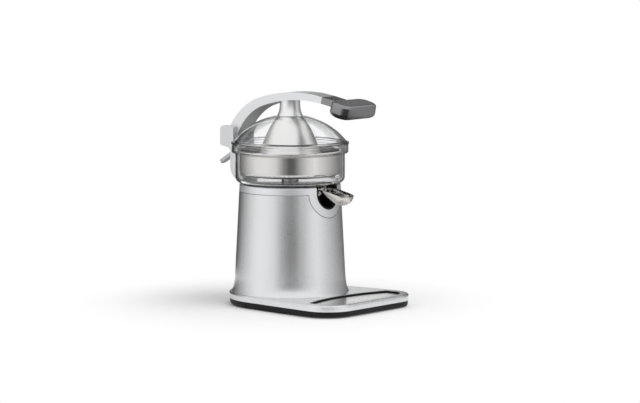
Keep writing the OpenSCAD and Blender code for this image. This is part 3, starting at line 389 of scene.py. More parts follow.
def beside(points: Sequence[Point], distance: float) -> list[Point]:
    """A curve moved sideways.

    Args:
        points: the curve.
        distance: how far, to the right of its direction.

    Returns:
        The moved curve.
    """
    moved = []
    for i, (x, y) in enumerate(points):
        before = points[max(0, i - 1)]
        after = points[min(len(points) - 1, i + 1)]
        run, rise = after[0] - before[0], after[1] - before[1]
        length = math.hypot(run, rise)
        moved.append((x + distance * rise / length, y - distance * run / length))
    return moved


class Workshop:
    """Turns outlines and nodes into finished pieces."""

    # Angles from which an edge stays sharp and below which faces are joined.
    CREASE = math.radians(33.0)
    FLAT = math.radians(0.3)
    # Distance within which corners are merged, and spans across a soft edge.
    MERGE = 0.002 * MM
    EDGE_STEPS = 3

    @classmethod
    def close(cls, name: str, shape: bmesh.types.BMesh) -> bpy.types.Object:
        """Shade a shape and put it into the scene.

        Args:
            name: the object's name.
            shape: the shape, which is freed.

        Returns:
            The object, at the origin.
        """
        for face in shape.faces:
            face.smooth = True
        for edge in shape.edges:
            edge.smooth = len(edge.link_faces) == 2 and edge.calc_face_angle(0.0) < cls.CREASE
        mesh = bpy.data.meshes.new(name)
        shape.to_mesh(mesh)
        shape.free()
        made = bpy.data.objects.new(name, mesh)
        bpy.context.scene.collection.objects.link(made)
        return made

    @staticmethod
    def wall(shape: bmesh.types.BMesh, outline: Sequence[Point], count: int,
             closed: bool) -> list[list[bmesh.types.BMVert]]:
        """Turn an outline about the Z axis.

        Args:
            shape: the shape to add to.
            outline: radius and height of each corner.
            count: steps round the axis.
            closed: whether the last corner joins the first.

        Returns:
            The corners' rings.
        """
        turns = [2.0 * math.pi * k / count for k in range(count)]
        rings = []
        for radius, height in outline:
            corners = [(radius * math.cos(a), radius * math.sin(a), height) for a in turns]
            rings.append([shape.verts.new(corner) for corner in corners])
        following = rings[1:] + rings[:1] if closed else rings[1:]
        for ring, after in zip(rings, following):
            for k in range(count):
                shape.faces.new([ring[k], ring[(k + 1) % count], after[(k + 1) % count], after[k]])
        return rings

    @classmethod
    def lathe(cls, name: str, outline: Sequence[Point], count: int = 128) -> bpy.types.Object:
        """Turn a closed outline about the drive axis.

        Args:
            name: the piece's name.
            outline: radius and height of each corner, in millimetres.
            count: steps round the axis.

        Returns:
            The turned piece.
        """
        shape = bmesh.new()
        cls.wall(shape, [(radius * MM, height * MM) for radius, height in outline], count, closed=True)
        bmesh.ops.recalc_face_normals(shape, faces=shape.faces)
        return cls.close(name, shape)

    @classmethod
    def _merged(cls, node: str) -> bmesh.types.BMesh:
        """A copy of a node's mesh with its loose triangles joined.

        Args:
            node: the node's name.

        Returns:
            The copy.
        """
        shape = bmesh.new()
        shape.from_mesh(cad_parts[node].data)
        bmesh.ops.remove_doubles(shape, verts=shape.verts, dist=cls.MERGE)
        return shape

    @classmethod
    def solids(cls, node: str) -> list[tuple[Vector, Vector]]:
        """Box of each separate solid of a node.

        Args:
            node: the node's name.

        Returns:
            Lowest and highest corner of each.
        """
        shape = cls._merged(node)
        shape.verts.index_update()
        seen: set[int] = set()
        boxes = []
        for first in shape.verts:
            if first.index in seen:
                continue
            seen.add(first.index)
            group = [first]
            # The group grows while it is walked.
            for vert in group:
                for other in (edge.other_vert(vert) for edge in vert.link_edges):
                    if other.index not in seen:
                        seen.add(other.index)
                        group.append(other)
            corners = [[pick(vert.co[axis] for vert in group) for axis in range(3)] for pick in (min, max)]
            boxes.append((Vector(corners[0]), Vector(corners[1])))
        shape.free()
        return boxes

    @classmethod
    def refine(cls, node: str, edge: float = 0.0) -> bpy.types.Object:
        """Copy a node's mesh with clean faces, smooth curves and soft edges.

        Args:
            node: the node's name.
            edge: width of the soft edges, in millimetres.

        Returns:
            The copy.
        """
        shape = cls._merged(node)
        bmesh.ops.dissolve_limit(shape, angle_limit=cls.FLAT, verts=shape.verts, edges=shape.edges)
        made = cls.close(node + "_skin", shape)
        if edge > 0.0:
            bevel = made.modifiers.new("soft_edges", "BEVEL")
            bevel.width = edge * MM
            bevel.segments = cls.EDGE_STEPS
            bevel.limit_method = "ANGLE"
            bevel.angle_limit = cls.CREASE
            bevel.miter_outer = "MITER_ARC"
        even = made.modifiers.new("even_shading", "WEIGHTED_NORMAL")
        even.mode = "FACE_AREA_WITH_ANGLE"
        even.keep_sharp = True
        return made

    @staticmethod
    def dress(piece: bpy.types.Object, finish: Finish, body: str, slot: str,
              nodes: Iterable[str] = ()) -> None:
        """Give a piece its finish and its place in the model.

        Args:
            piece: the piece.
            finish: its finish.
            body: the body that it rides on.
            slot: the record's material slot, which is not used.
            nodes: the nodes that it stands for.
        """
        piece.data.materials.clear()
        piece.data.materials.append(finish.material())
        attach(piece, body)
        if nodes:
            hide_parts(*nodes)
        LOG.info("%s rides on %s", piece.name, body)

    @classmethod
    def skin(cls, node: str, finish: Finish, body: str, slot: str, edge: float = 0.0) -> None:
        """Refine a node with edges of a width, dress the copy and let it stand for the node."""
        cls.dress(cls.refine(node, edge), finish, body, slot, [node])

    @staticmethod
    def coat(finish: Finish, *nodes: str) -> None:
        """Give nodes that keep their own mesh a finish.

        Args:
            finish: the finish.
            nodes: the nodes' names.
        """
        for name in nodes:
            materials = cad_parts[name].data.materials
            materials.clear()
            materials.append(finish.material())
            LOG.info("%s keeps its mesh", name)


class Scatter:
    """Geometry Nodes trees that set one small shape at many places."""

    INPUTS = (("Geometry", "Geometry"), ("Part", "Object"), ("Finish", "Material"))
    RING_INPUTS = (("Ring Radius", "Float"), ("Ring Height", "Float"), ("Count", "Int"))

    @classmethod
    def _tree(cls, name: str, ring: bool) -> bpy.types.NodeTree:
        """Build a tree that sets a part on points.

        Args:
            name: the tree's name.
            ring: whether the points are a ring, and otherwise the host's own corners.

        Returns:
            The tree.
        """
        inputs = cls.INPUTS + (cls.RING_INPUTS if ring else ())
        group = bpy.data.node_groups.new(name, "GeometryNodeTree")
        for label, kind in inputs:
            group.interface.new_socket(label, in_out="INPUT", socket_type="NodeSocket" + kind)
        group.interface.new_socket("Geometry", in_out="OUTPUT", socket_type="NodeSocketGeometry")
        tree = Tree(group)
        given = {label: tree.add("NodeGroupInput", out=label) for label, _ in inputs}
        source = given["Geometry"]
        if ring:
            sizes = {"Vertices": given["Count"], "Radius": given["Ring Radius"]}
            circle = tree.add("GeometryNodeMeshCircle", {}, sizes)
            lift = tree.add("ShaderNodeCombineXYZ", {}, {"Z": given["Ring Height"]})
            source = tree.add("GeometryNodeTransform", {}, {"Geometry": circle, "Translation": lift})
        points = tree.add("GeometryNodeMeshToPoints", {}, {"Mesh": source})
        part = tree.add("GeometryNodeObjectInfo", {}, {"Object": given["Part"]}, out="Geometry")
        copies = tree.add("GeometryNodeInstanceOnPoints", {}, {"Points": points, "Instance": part})
        real = tree.add("GeometryNodeRealizeInstances", {}, {"Geometry": copies})
        paint = tree.add("GeometryNodeSetMaterial", {}, {"Geometry": real, "Material": given["Finish"]})
        tree.add("NodeGroupOutput", {}, {"Geometry": paint})
        return group

    @classmethod
    def run(cls, name: str, part: bpy.types.Object, finish: Finish, places: Sequence[Vector] = (),
            ring: Optional[tuple[float, float, int]] = None) -> bpy.types.Mesh:
        """Set a part at its places and keep the result as a plain mesh.

        Args:
            name: name of the result.
            part: the small shape, at the origin.
            finish: its finish.
            places: where it goes.
            ring: or the radius, height and count of a ring, in millimetres.

        Returns:
            The plain mesh.
        """
        host_mesh = bpy.data.meshes.new(name + "_host")
        host_mesh.from_pydata(places, [], [])
        host = bpy.data.objects.new(name + "_host", host_mesh)
        bpy.context.scene.collection.objects.link(host)
        group = cls._tree(name + "_tree", ring is not None)
        sockets = {s.name: s.identifier for s in group.interface.items_tree if s.in_out == "INPUT"}
        layer = host.modifiers.new("places", "NODES")
        layer.node_group = group
        layer[sockets["Part"]] = part
        layer[sockets["Finish"]] = finish.material()
        if ring is not None:
            layer[sockets["Ring Radius"]] = ring[0] * MM
            layer[sockets["Ring Height"]] = ring[1] * MM
            layer[sockets["Count"]] = ring[2]
        bpy.context.view_layer.update()
        graph = bpy.context.evaluated_depsgraph_get()
        mesh = bpy.data.meshes.new_from_object(host.evaluated_get(graph))
        bpy.data.objects.remove(host)
        return mesh

    @staticmethod
    def join(name: str, meshes: Sequence[bpy.types.Mesh]) -> bpy.types.Object:
        """Join plain meshes into one piece.

        Args:
            name: the piece's name.
            meshes: the meshes.

        Returns:
            The piece.
        """
        shape = bmesh.new()
        for mesh in meshes:
            shape.from_mesh(mesh)
        return Workshop.close(name, shape)


@dataclass
class ScrewSet:
    """Pan-head screws with a cross recess, where a node has its plain screws.

    Attributes:
        node: the node with the plain screws.
        head_h: height of a head, in millimetres.
        shank_r: radius of a shank, in millimetres.
        up: whether the heads are on top.
    """

    node: str
    head_h: float
    shank_r: float
    up: bool = True

    SIDES = 24
    # Radius and height of the head's corners, as shares of its own.
    CROWN = ((1.0, 0.0), (1.0, 0.45), (0.86, 0.85), (0.7, 1.0))
    # The recess: half its slot's width, its reach, its depth and how far it narrows, as shares of the head.
    SLOT = 0.13
    REACH = 0.62
    DEPTH = 0.55
    NARROW = 0.8

    def _cross(self, head_r: float) -> list[Point]:
        """Outline of the recess.

        Args:
            head_r: radius of the head.

        Returns:
            The corners.
        """
        slot, reach = head_r * self.SLOT, head_r * self.REACH
        limb = [(slot, slot), (slot, reach), (-slot, reach)]
        corners = []
        for _ in range(4):
            corners += limb
            limb = [(-y, x) for x, y in limb]
        return corners

    def _screw(self, head_r: float, length: float) -> bpy.types.Object:
        """One screw, its head's seat at the origin.

        Args:
            head_r: radius of the head.
            length: length of the shank.

        Returns:
            The screw.
        """
        shape = bmesh.new()
        outline = [(self.shank_r, -length), (self.shank_r, 0.0)]
        outline += [(head_r * wide, self.head_h * high) for wide, high in self.CROWN]
        rings = Workshop.wall(shape, outline, self.SIDES, closed=False)
        shape.faces.new(list(reversed(rings[0])))
        cross = self._cross(head_r)
        low = self.head_h * (1.0 - self.DEPTH)
        lip = [shape.verts.new((x, y, self.head_h)) for x, y in cross]
        pit = [shape.verts.new((x * self.NARROW, y * self.NARROW, low)) for x, y in cross]
        lip_after, pit_after, rim = lip[1:] + lip[:1], pit[1:] + pit[:1], rings[-1]
        edges = [shape.edges.new(pair) for pair in zip(lip, lip_after)]
        edges += [shape.edges.get(pair) for pair in zip(rim, rim[1:] + rim[:1])]
        bmesh.ops.triangle_fill(shape, edges=edges, use_beauty=True)
        for corners in zip(lip, lip_after, pit_after, pit):
            shape.faces.new(corners)
        shape.faces.new(pit)
        way = 1.0 if self.up else -1.0
        for vert in shape.verts:
            vert.co = Vector((vert.co.x, vert.co.y * way, vert.co.z * way)) * MM
        bmesh.ops.recalc_face_normals(shape, faces=shape.faces)
        return Workshop.close(self.node + "_one", shape)

    def build(self) -> None:
        """Set the screws at their places."""
        boxes = Workshop.solids(self.node)
        low, high = boxes[0]
        length = tenths(high.z - low.z) - self.head_h
        seat = high.z - self.head_h * MM if self.up else low.z + self.head_h * MM
        middles = [(lowest + highest) / 2 for lowest, highest in boxes]
        places = [Vector((middle.x, middle.y, seat)) for middle in middles]
        one = self._screw(tenths((high.x - low.x) / 2), length)
        mesh = Scatter.run(self.node, one, SCREW_STEEL, places)
        bpy.data.objects.remove(one)
        piece = Scatter.join(self.node + "_set", [mesh])
        Workshop.dress(piece, SCREW_STEEL, "housing", "screw_steel", [self.node])


@dataclass
class Stand:
    """The wide base with its feet and drip tray. Sizes are in millimetres."""

    edge: float = 0.35
    pan_edge: float = 0.25
    plate_edge: float = 0.2
    screw_head_h: float = 2.5
    screw_r: float = 2.0

    def build(self) -> None:
        """Dress the base."""
        Workshop.skin("base_plate", SILVER_LACQUER, "housing", "silver_paint", self.edge)
        Workshop.skin("base_pan", BLACK_MOULDING, "housing", "black_plastic", self.edge)
        Workshop.skin("drip_pan", BLACK_MOULDING, "housing", "black_plastic", self.pan_edge)
        Workshop.skin("drip_plate", PLATE_STEEL, "drip", "sheet_steel", self.plate_edge)
        Workshop.skin("rubber_feet", FOOT_RUBBER, "housing", "rubber")
        ScrewSet("base_screws", self.screw_head_h, self.screw_r, up=False).build()
        Workshop.coat(SCREW_STEEL, "body_screws")


@dataclass
class Housing:
    """The tapered body, its collar and the spout in its well. Sizes are in millimetres."""

    edge: float = 0.3
    gland_edge: float = 0.4
    screw_head_h: float = 1.8
    screw_r: float = 1.5

    def build(self) -> None:
        """Dress the body, its collar and the spout."""
        Workshop.skin("body_shell", SILVER_LACQUER, "housing", "silver_paint", self.edge)
        Workshop.skin("top_collar", COLLAR_LACQUER, "housing", "silver_paint", self.edge)
        Workshop.skin("spout_well", BLACK_MOULDING, "housing", "black_plastic", self.edge)
        Workshop.skin("spout", SPOUT_STEEL, "spout", "sheet_steel", self.edge)
        Workshop.skin("cord_gland", BLACK_MOULDING, "housing", "black_plastic", self.gland_edge)
        Workshop.coat(GROUND_STEEL, "spout_pins")
        ScrewSet("gearbox_screws", self.screw_head_h, self.screw_r).build()


@dataclass
class ClearWare:
    """The clear bowl and its domed lid. Sizes are in millimetres, and the frame gives reach and height."""

    bowl_edge: float = 0.4
    collar_t: float = 3.0
    # The lid's dome and flat crown.
    dome_r: float = 102.0
    crown_r: float = 22.0
    crown_edge: float = 1.5
    lid_wall: float = 2.2
    hole_r: float = 3.05
    # The lid's flange, and the angle that is left free at the dome's foot.
    flange_t: float = 3.0
    flange_round: float = 1.2
    foot_turn: float = 0.8
    # The skirt that hangs into the bowl, and the gap round it.
    skirt_gap: float = 1.2
    skirt_t: float = 1.8
    skirt_h: float = 4.0
    lid_edge: float = 0.4
    dome_steps: int = 48
    round_steps: int = 6

    def _lid_outline(self) -> list[Point]:
        """Section of the lid.

        Returns:
            The closed outline.
        """
        lid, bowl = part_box("lid")[1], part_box("juice_bowl")[1]
        lid_r, crown_z, seat = tenths(lid.x), tenths(lid.z), tenths(bowl.z)
        top = seat + self.flange_t
        centre = crown_z - math.sqrt(self.dome_r ** 2 - self.crown_r ** 2)
        under = self.dome_r - self.lid_wall
        under_z = crown_z - self.lid_wall
        skirt_r = tenths(bowl.x) - self.collar_t - self.skirt_gap
        skirt_in = skirt_r - self.skirt_t
        skirt_z = seat - self.skirt_h
        crown = math.degrees(math.acos(self.crown_r / self.dome_r))
        foot = math.degrees(math.asin((top - centre) / self.dome_r)) + self.foot_turn
        low = math.degrees(math.acos(skirt_in / under))
        high = math.degrees(math.asin((under_z - centre) / under))
        flange = (lid_r - self.flange_round, top - self.flange_round)
        edge = self.lid_edge
        return [
            (self.hole_r, crown_z), (self.crown_r - self.crown_edge, crown_z),
            *arc((0.0, centre), self.dome_r, crown, foot, self.dome_steps),
            *arc(flange, self.flange_round, 90.0, 0.0, self.round_steps),
            (lid_r, seat + edge), (lid_r - edge, seat), (skirt_r, seat),
            (skirt_r, skirt_z + edge), (skirt_r - edge, skirt_z),
            (skirt_in + edge, skirt_z), (skirt_in, skirt_z + edge),
            *arc((0.0, centre), under, low, high, self.dome_steps),
            (self.hole_r, under_z),
        ]

    def build(self) -> None:
        """Make the lid and dress the bowl."""
        lid = Workshop.lathe("lid_clear", self._lid_outline())
        Workshop.dress(lid, CLEAR_MOULDING, "arm", "clear_plastic", ["lid"])
        Workshop.skin("juice_bowl", CLEAR_MOULDING, "housing", "clear_plastic", self.bowl_edge)


@dataclass
class Pressing:
    """The bell, its neck, the reamer and the strainer, sized as the clear ware is."""

    hole_r: float = 3.05
    # The bell's height, its flat top, and its curve's handles, from the top and from the rim.
    bell_h: float = 52.0
    bell_top_r: float = 17.5
    bell_shoulder: Point = (7.7, -5.1)
    bell_waist: Point = (-6.6, 22.1)
    bell_edge: float = 0.8
    bell_under_edge: float = 0.6
    bell_steps: int = 72
    bell_turns: int = 160
    sheet: float = 1.2
    # The bead at its rim: its first and last angle, and how many of the curve's points it replaces.
    bead_r: float = 1.0
    bead_out: float = 0.1
    bead_turn: Point = (40.0, -220.0)
    bead_steps: int = 12
    bead_room: int = 3
    # The neck's top, and its curve's handles, below the top and from the foot.
    neck_r: float = 14.2
    neck_straight: float = 8.0
    neck_flare: Point = (0.6, 6.0)
    neck_foot_h: float = 0.5
    neck_edge: float = 0.3
    neck_steps: int = 32
    # The strainer's floor, with the radius and count of each ring of holes.
    strainer_t: float = 1.0
    strainer_rings: Sequence[tuple[float, int]] = ((26.0, 16), (38.0, 24), (50.0, 32))
    strainer_hole_r: float = 1.5
    # The pressed rim of a hole: its clearance, width and height, and the corners of its section.
    rim_fit: float = 0.05
    rim_w: float = 0.6
    rim_h: float = 0.3
    rim_lip: Point = (0.15, 0.21)
    rim_fall: Point = (0.2, 0.18)
    rim_steps: int = 14
    reamer_edge: float = 0.3

    def _bell_outline(self) -> list[Point]:
        """Section of the bell, with a rolled rim.

        Returns:
            The closed outline.
        """
        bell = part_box("press_bell")[1]
        rim_r, top = tenths(bell.x), tenths(bell.z)
        rim_z, under = top - self.bell_h, top - self.sheet
        shoulder = (self.bell_top_r + self.bell_shoulder[0], top + self.bell_shoulder[1])
        waist = (rim_r + self.bell_waist[0], rim_z + self.bell_waist[1])
        outer = bezier([(self.bell_top_r, top), shoulder, waist, (rim_r, rim_z)], self.bell_steps)
        inner = beside(outer, self.sheet)
        bead = (rim_r - self.sheet / 2 + self.bead_out, rim_z + self.bead_r)
        return [
            (self.hole_r, top), (self.bell_top_r - self.bell_edge, top),
            *outer[1:-self.bead_room],
            *arc(bead, self.bead_r, *self.bead_turn, self.bead_steps),
            *inner[-self.bead_room - 1:1:-1],
            (self.bell_top_r - self.sheet - self.bell_under_edge, under), (self.hole_r, under),
        ]

    def _neck_outline(self) -> list[Point]:
        """Section of the neck.

        Returns:
            The closed outline.
        """
        low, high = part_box("bell_neck")
        foot_r, foot, top = tenths(high.x), tenths(low.z), tenths(high.z)
        flare = (self.neck_r + self.neck_flare[0], foot + self.neck_flare[1])
        return [
            (self.hole_r, top),
            *bezier([(self.neck_r, top), (self.neck_r, top - self.neck_straight), flare,
                     (foot_r, foot + self.neck_foot_h)], self.neck_steps),
            (foot_r - self.neck_edge, foot), (self.hole_r, foot),
        ]

    def _rim(self) -> bpy.types.Object:
        """Pressed rim of one strainer hole, at the origin.

        Returns:
            The rim.
        """
        inside, outside = self.strainer_hole_r + self.rim_fit, self.strainer_hole_r + self.rim_w
        outline = [
            (inside, -self.rim_fit), (inside, self.rim_lip[1]),
            (inside + self.rim_lip[0], self.rim_h), (outside - self.rim_fall[0], self.rim_fall[1]),
            (outside, -self.rim_fit),
        ]
        return Workshop.lathe("pressed_rim", outline, self.rim_steps)

    def _rims(self) -> bpy.types.Object:
        """Pressed rims of all holes in the strainer's floor.

        Returns:
            The rims.
        """
        one = self._rim()
        floor = tenths(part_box("strainer")[0].z) + self.strainer_t
        meshes = []
        for i, (radius, count) in enumerate(self.strainer_rings):
            meshes.append(Scatter.run(f"rims_{i}", one, SPUN_STEEL, ring=(radius, floor, count)))
        bpy.data.objects.remove(one)
        return Scatter.join("strainer_rims", meshes)

    def build(self) -> None:
        """Make the bell and the neck, and dress the reamer and the strainer."""
        bell = Workshop.lathe("bell_spun", self._bell_outline(), self.bell_turns)
        Workshop.dress(bell, BELL_STEEL, "arm", "sheet_steel", ["press_bell"])
        neck = Workshop.lathe("neck_turned", self._neck_outline())
        Workshop.dress(neck, NECK_CASTING, "arm", "arm_metal", ["bell_neck"])
        Workshop.coat(GROUND_STEEL, "bell_stud")
        Workshop.skin("strainer", SPUN_STEEL, "housing", "sheet_steel")
        Workshop.dress(self._rims(), SPUN_STEEL, "housing", "sheet_steel")
        Workshop.skin("reamer", REAMER_MOULDING, "spindle", "reamer_plastic", self.reamer_edge)


@dataclass
class Arm:
    """The curved arm, its grip, its bracket and the release lever. Sizes are in millimetres."""

    arm_edge: float = 1.4
    grip_edge: float = 0.8
    bracket_edge: float = 1.2
    lever_edge: float = 0.9

    def build(self) -> None:
        """Dress the arm and what carries it."""
        Workshop.skin("press_arm", ARM_CASTING, "arm", "arm_metal", self.arm_edge)
        Workshop.skin("arm_grip", GRIP_MOULDING, "arm", "grip_plastic", self.grip_edge)
        Workshop.skin("hinge_bracket", BRACKET_CASTING, "housing", "arm_metal", self.bracket_edge)
        Workshop.skin("release_lever", LEVER_CASTING, "release_lever", "lever_metal", self.lever_edge)
        Workshop.coat(GROUND_STEEL, "hinge_pin", "lever_pin")
        Workshop.coat(BUSH_BRONZE, "arm_bushes")
        Workshop.coat(SCREW_STEEL, "grip_screws", "bracket_screws")


@dataclass
class Drive:
    """The motor, gears and switch inside the body."""

    finishes: Mapping[str, Finish] = field(default_factory=lambda: {
        "drive_spindle": GROUND_STEEL, "idler_pin": GROUND_STEEL, "motor_shaft": GROUND_STEEL,
        "thrust_cup": GROUND_STEEL, "spring_washer": GROUND_STEEL, "motor_screws": SCREW_STEEL,
        "spindle_bush": BUSH_BRONZE, "motor_pinion": BUSH_BRONZE, "spindle_seal": FOOT_RUBBER,
        "output_gear": GEAR_MOULDING, "idler_gear": GEAR_MOULDING, "motor_can": MOTOR_LACQUER,
        "gearbox_housing": BLACK_MOULDING, "micro_switch": BLACK_MOULDING,
    })

    def build(self) -> None:
        """Give each piece of the drive its finish."""
        for node, finish in self.finishes.items():
            Workshop.coat(finish, node)


@dataclass(frozen=True)
class Screen:
    """A curved screen round the object, in metres and degrees.

    Attributes:
        name: its name.
        turns: its first and last bearing, to the camera's right.
        tones: share of the way along it and grey value of each stop.
        section: distance from the drive axis and height of each of its long edges.
    """

    name: str
    turns: Point
    tones: Sequence[Point]
    section: Sequence[Point]

    # Reach of the standing screens, and height of the part of them that lies on the floor.
    STAND_R = 1.3
    LAID_Z = 0.002

    @classmethod
    def standing(cls, name: str, turns: Point, tones: Sequence[Point], near: float,
                 heights: Point) -> "Screen":
        """A screen that lies on the floor from a near edge and then stands up.

        Args:
            name: its name.
            turns: its first and last bearing.
            tones: its stops.
            near: distance of its near edge from the drive axis.
            heights: where it starts to go over into white, and its top.

        Returns:
            The screen.
        """
        laid = ((near, cls.LAID_Z), (cls.STAND_R, cls.LAID_Z))
        return cls(name, turns, tones, laid + tuple((cls.STAND_R, z) for z in heights))


@dataclass(frozen=True)
class Lamp:
    """A soft lamp, by its bearing to the camera's right, rise, distance, width and watts."""

    name: str
    turn: float
    rise: float
    reach: float
    size: float
    power: float


SCREENS = (
    Screen.standing("middle", turns=(-52.0, 52.0), near=0.36, heights=(0.2, 0.45), tones=(
        (0.0, 1.0), (0.2, 0.85), (0.375, 0.3), (0.5, 0.1),
        (0.6, 0.15), (0.71, 0.45), (0.885, 0.82), (1.0, 0.92))),
    Screen.standing("left_side", turns=(-75.0, -172.0), near=0.4, heights=(0.8, 0.9), tones=(
        (0.0, 1.0), (0.2, 0.78), (0.5, 0.35), (0.77, 0.05), (1.0, 0.05))),
    Screen.standing("right_side", turns=(62.0, 172.0), near=0.26, heights=(0.8, 0.9), tones=(
        (0.0, 0.92), (0.18, 0.72), (0.42, 0.45), (0.78, 0.16), (1.0, 0.16))),
    Screen("ground", turns=(168.0, 192.0), tones=((0.0, 0.16), (1.0, 0.16)),
           section=((0.26, 0.003), (1.1, 0.003), (1.2, 0.003))),
    Screen("behind", turns=(130.0, 230.0), tones=((0.0, 0.1), (1.0, 0.1)),
           section=((2.4, 0.7), (2.4, 2.3), (2.4, 2.6))),
)

# The black card lies just under the grip. Its tones say how clear it is.
BLACK_CARD = Screen("black_card", turns=(-42.0, 64.0), section=((0.4, 0.255), (0.09, 0.255)),
                    tones=((0.0, 1.0), (0.3, 0.0), (0.78, 0.0), (1.0, 1.0)))

LAMPS = (
    Lamp("key", turn=58.0, rise=40.0, reach=2.6, size=3.0, power=62.0),
    Lamp("fill", turn=-55.0, rise=42.0, reach=2.6, size=3.0, power=20.0),
)


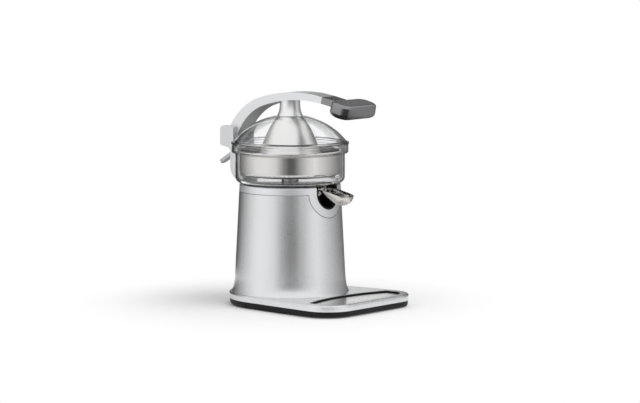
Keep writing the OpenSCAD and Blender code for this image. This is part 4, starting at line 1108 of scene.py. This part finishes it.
@dataclass
class Studio:
    """Floor, light and camera, in metres and degrees."""

    # The camera, and where it looks, to its own right and up.
    azimuth: float = -50.0
    elevation: float = 6.3
    distance: float = 4.5
    lens: float = 180.0
    aim_right: float = 0.042
    aim_z: float = 0.144
    # The lamps, the world's light and the screens.
    lamp_aim_z: float = 0.15
    daylight: float = 0.5
    screen_steps: int = 24
    card_fade: Sequence[Point] = ((0.0, 1.0), (0.55, 0.0))
    # The floor: half its side, where it starts to turn white and is white, and its tones.
    floor_half: float = 8.0
    floor_near: float = 0.1
    floor_far: float = 0.32
    floor_dark: Colour = (0.87, 0.87, 0.875)
    floor_pale: Colour = (0.9, 0.9, 0.905)
    floor_roughness: float = 0.7
    floor_grain: float = 250.0
    floor_detail: float = 2.0

    def _bearing(self, turn: float, rise: float = 0.0) -> Vector:
        """Unit direction from the object, by degrees to the camera's right and up."""
        a, e = math.radians(self.azimuth + turn), math.radians(rise)
        return Vector((math.sin(a) * math.cos(e), -math.cos(a) * math.cos(e), math.sin(e)))

    @staticmethod
    def _seen(tree: ShaderTree) -> Wire:
        """Whether a ray comes from the camera, a reflection or clear plastic.

        Args:
            tree: the tree to work in.

        Returns:
            1 for such a ray and 0 for others.
        """
        kinds = ("Is Camera Ray", "Is Glossy Ray", "Is Transmission Ray")
        first, second, third = (tree.add("ShaderNodeLightPath", out=kind) for kind in kinds)
        return first.larger(second).larger(third)

    def _floor(self) -> None:
        """Lay the pale floor, which goes over into white away from the object."""
        finish = bpy.data.materials.new("pale_floor")
        tree = ShaderTree(finish)
        place = tree.place()
        fade = tree.add("ShaderNodeMapRange", {"interpolation_type": "SMOOTHSTEP"}, {
            "Value": tree.from_axis(place), "From Min": self.floor_near, "From Max": self.floor_far})
        grain = tree.noise(place, self.floor_grain, self.floor_detail)
        tone = tree.blend(grain, (*self.floor_dark, 1.0), (*self.floor_pale, 1.0))
        ground = tree.add("ShaderNodeBsdfPrincipled", {}, {
            "Base Color": tone, "Roughness": self.floor_roughness})
        white = tree.add("ShaderNodeEmission", {}, {"Color": WHITE})
        tree.show(tree.add("ShaderNodeMixShader", {}, {0: fade * self._seen(tree), 1: ground, 2: white}))
        shape = bmesh.new()
        bmesh.ops.create_grid(shape, x_segments=2, y_segments=2, size=self.floor_half)
        floor = Workshop.close("floor", shape)
        floor.data.materials.append(finish)

    def _stand(self, screen: Screen, finish: bpy.types.Material) -> bpy.types.Object:
        """Stand a screen that only reflections and clear plastic see.

        Its corners hold "along", the share of the way along it, and "rise", which is 1 at its last
        long edge and 0 elsewhere.

        Args:
            screen: the screen.
            finish: its material.

        Returns:
            The screen's object.
        """
        shape = bmesh.new()
        along = shape.verts.layers.float.new("along")
        rise = shape.verts.layers.float.new("rise")
        start, end = screen.turns
        columns = []
        for i in range(self.screen_steps + 1):
            away = self._bearing(start + (end - start) * i / self.screen_steps)
            column = [shape.verts.new(away * reach + Vector((0.0, 0.0, z))) for reach, z in screen.section]
            for vert in column:
                vert[along] = i / self.screen_steps
            column[-1][rise] = 1.0
            columns.append(column)
        for left, right in zip(columns, columns[1:]):
            for k in range(len(screen.section) - 1):
                shape.faces.new([left[k], right[k], right[k + 1], left[k + 1]])
        made = Workshop.close(screen.name, shape)
        made.data.materials.append(finish)
        made.visible_camera = False
        made.visible_shadow = False
        made.visible_diffuse = False
        return made

    def _screen(self, screen: Screen) -> None:
        """Stand a bright screen, graded along it and white at its top edge.

        Args:
            screen: the screen.
        """
        finish = bpy.data.materials.new(screen.name + "_tone")
        tree = ShaderTree(finish)
        tone = tree.ramp(tree.attribute("along"), screen.tones)
        glow = tree.blend(tree.attribute("rise"), tone, WHITE)
        tree.show(tree.add("ShaderNodeEmission", {}, {"Color": glow}))
        self._stand(screen, finish)

    def _card(self, card: Screen) -> None:
        """Lay a black card with soft edges that only metal over it mirrors: from below it is clear.

        Args:
            card: the card, its far edge first.
        """
        finish = bpy.data.materials.new(card.name + "_tone")
        tree = ShaderTree(finish)
        below = tree.add("ShaderNodeNewGeometry", out="Backfacing")
        sides = tree.ramp(tree.attribute("along"), card.tones)
        far = tree.ramp(tree.attribute("rise"), self.card_fade)
        black = tree.add("ShaderNodeEmission", {}, {"Color": BLACK})
        clear = tree.add("ShaderNodeBsdfTransparent")
        share = below.larger(sides).larger(far)
        tree.show(tree.add("ShaderNodeMixShader", {}, {0: share, 1: black, 2: clear}))
        self._stand(card, finish).visible_transmission = False

    def _lamp(self, lamp: Lamp) -> None:
        """Hang a soft lamp aimed at the object, which metal doesn't mirror.

        Args:
            lamp: the lamp.
        """
        light = bpy.data.lights.new(lamp.name, "AREA")
        light.size = lamp.size
        light.energy = lamp.power
        made = bpy.data.objects.new(lamp.name, light)
        aim = Vector((0.0, 0.0, self.lamp_aim_z))
        made.location = self._bearing(lamp.turn, lamp.rise) * lamp.reach + aim
        made.rotation_euler = (aim - made.location).to_track_quat("-Z", "Y").to_euler()
        made.visible_glossy = False
        made.visible_transmission = False
        bpy.context.scene.collection.objects.link(made)

    def _world(self) -> None:
        """White where it is seen, plain daylight where it lights."""
        world = bpy.data.worlds.new("daylight")
        bpy.context.scene.world = world
        tree = ShaderTree(world)
        strength = self._seen(tree) * (1.0 - self.daylight) + self.daylight
        sky = tree.add("ShaderNodeBackground", {}, {"Color": WHITE, "Strength": strength})
        tree.show(sky, "ShaderNodeOutputWorld")

    def _camera(self) -> None:
        """Stand the camera at the picture's viewing angle."""
        back = self._bearing(0.0, self.elevation)
        a = math.radians(self.azimuth)
        right = Vector((math.cos(a), math.sin(a), 0.0))
        aim = right * self.aim_right + Vector((0.0, 0.0, self.aim_z))
        lens = bpy.data.cameras.new("camera")
        lens.lens = self.lens
        camera = bpy.data.objects.new("camera", lens)
        camera.location = aim + back * self.distance
        camera.rotation_euler = (-back).to_track_quat("-Z", "Y").to_euler()
        bpy.context.scene.collection.objects.link(camera)
        bpy.context.scene.camera = camera

    def build(self) -> None:
        """Set the studio up."""
        bpy.context.scene.view_settings.view_transform = "Standard"
        self._camera()
        self._world()
        self._floor()
        for screen in SCREENS:
            self._screen(screen)
        self._card(BLACK_CARD)
        for lamp in LAMPS:
            self._lamp(lamp)


def main() -> None:
    """Build every sub-assembly in order."""
    logging.basicConfig(level=logging.INFO, format="%(name)s: %(message)s")
    for part in (Studio(), Stand(), Housing(), ClearWare(), Pressing(), Arm(), Drive()):
        part.build()


if __name__ == "__main__":
    main()
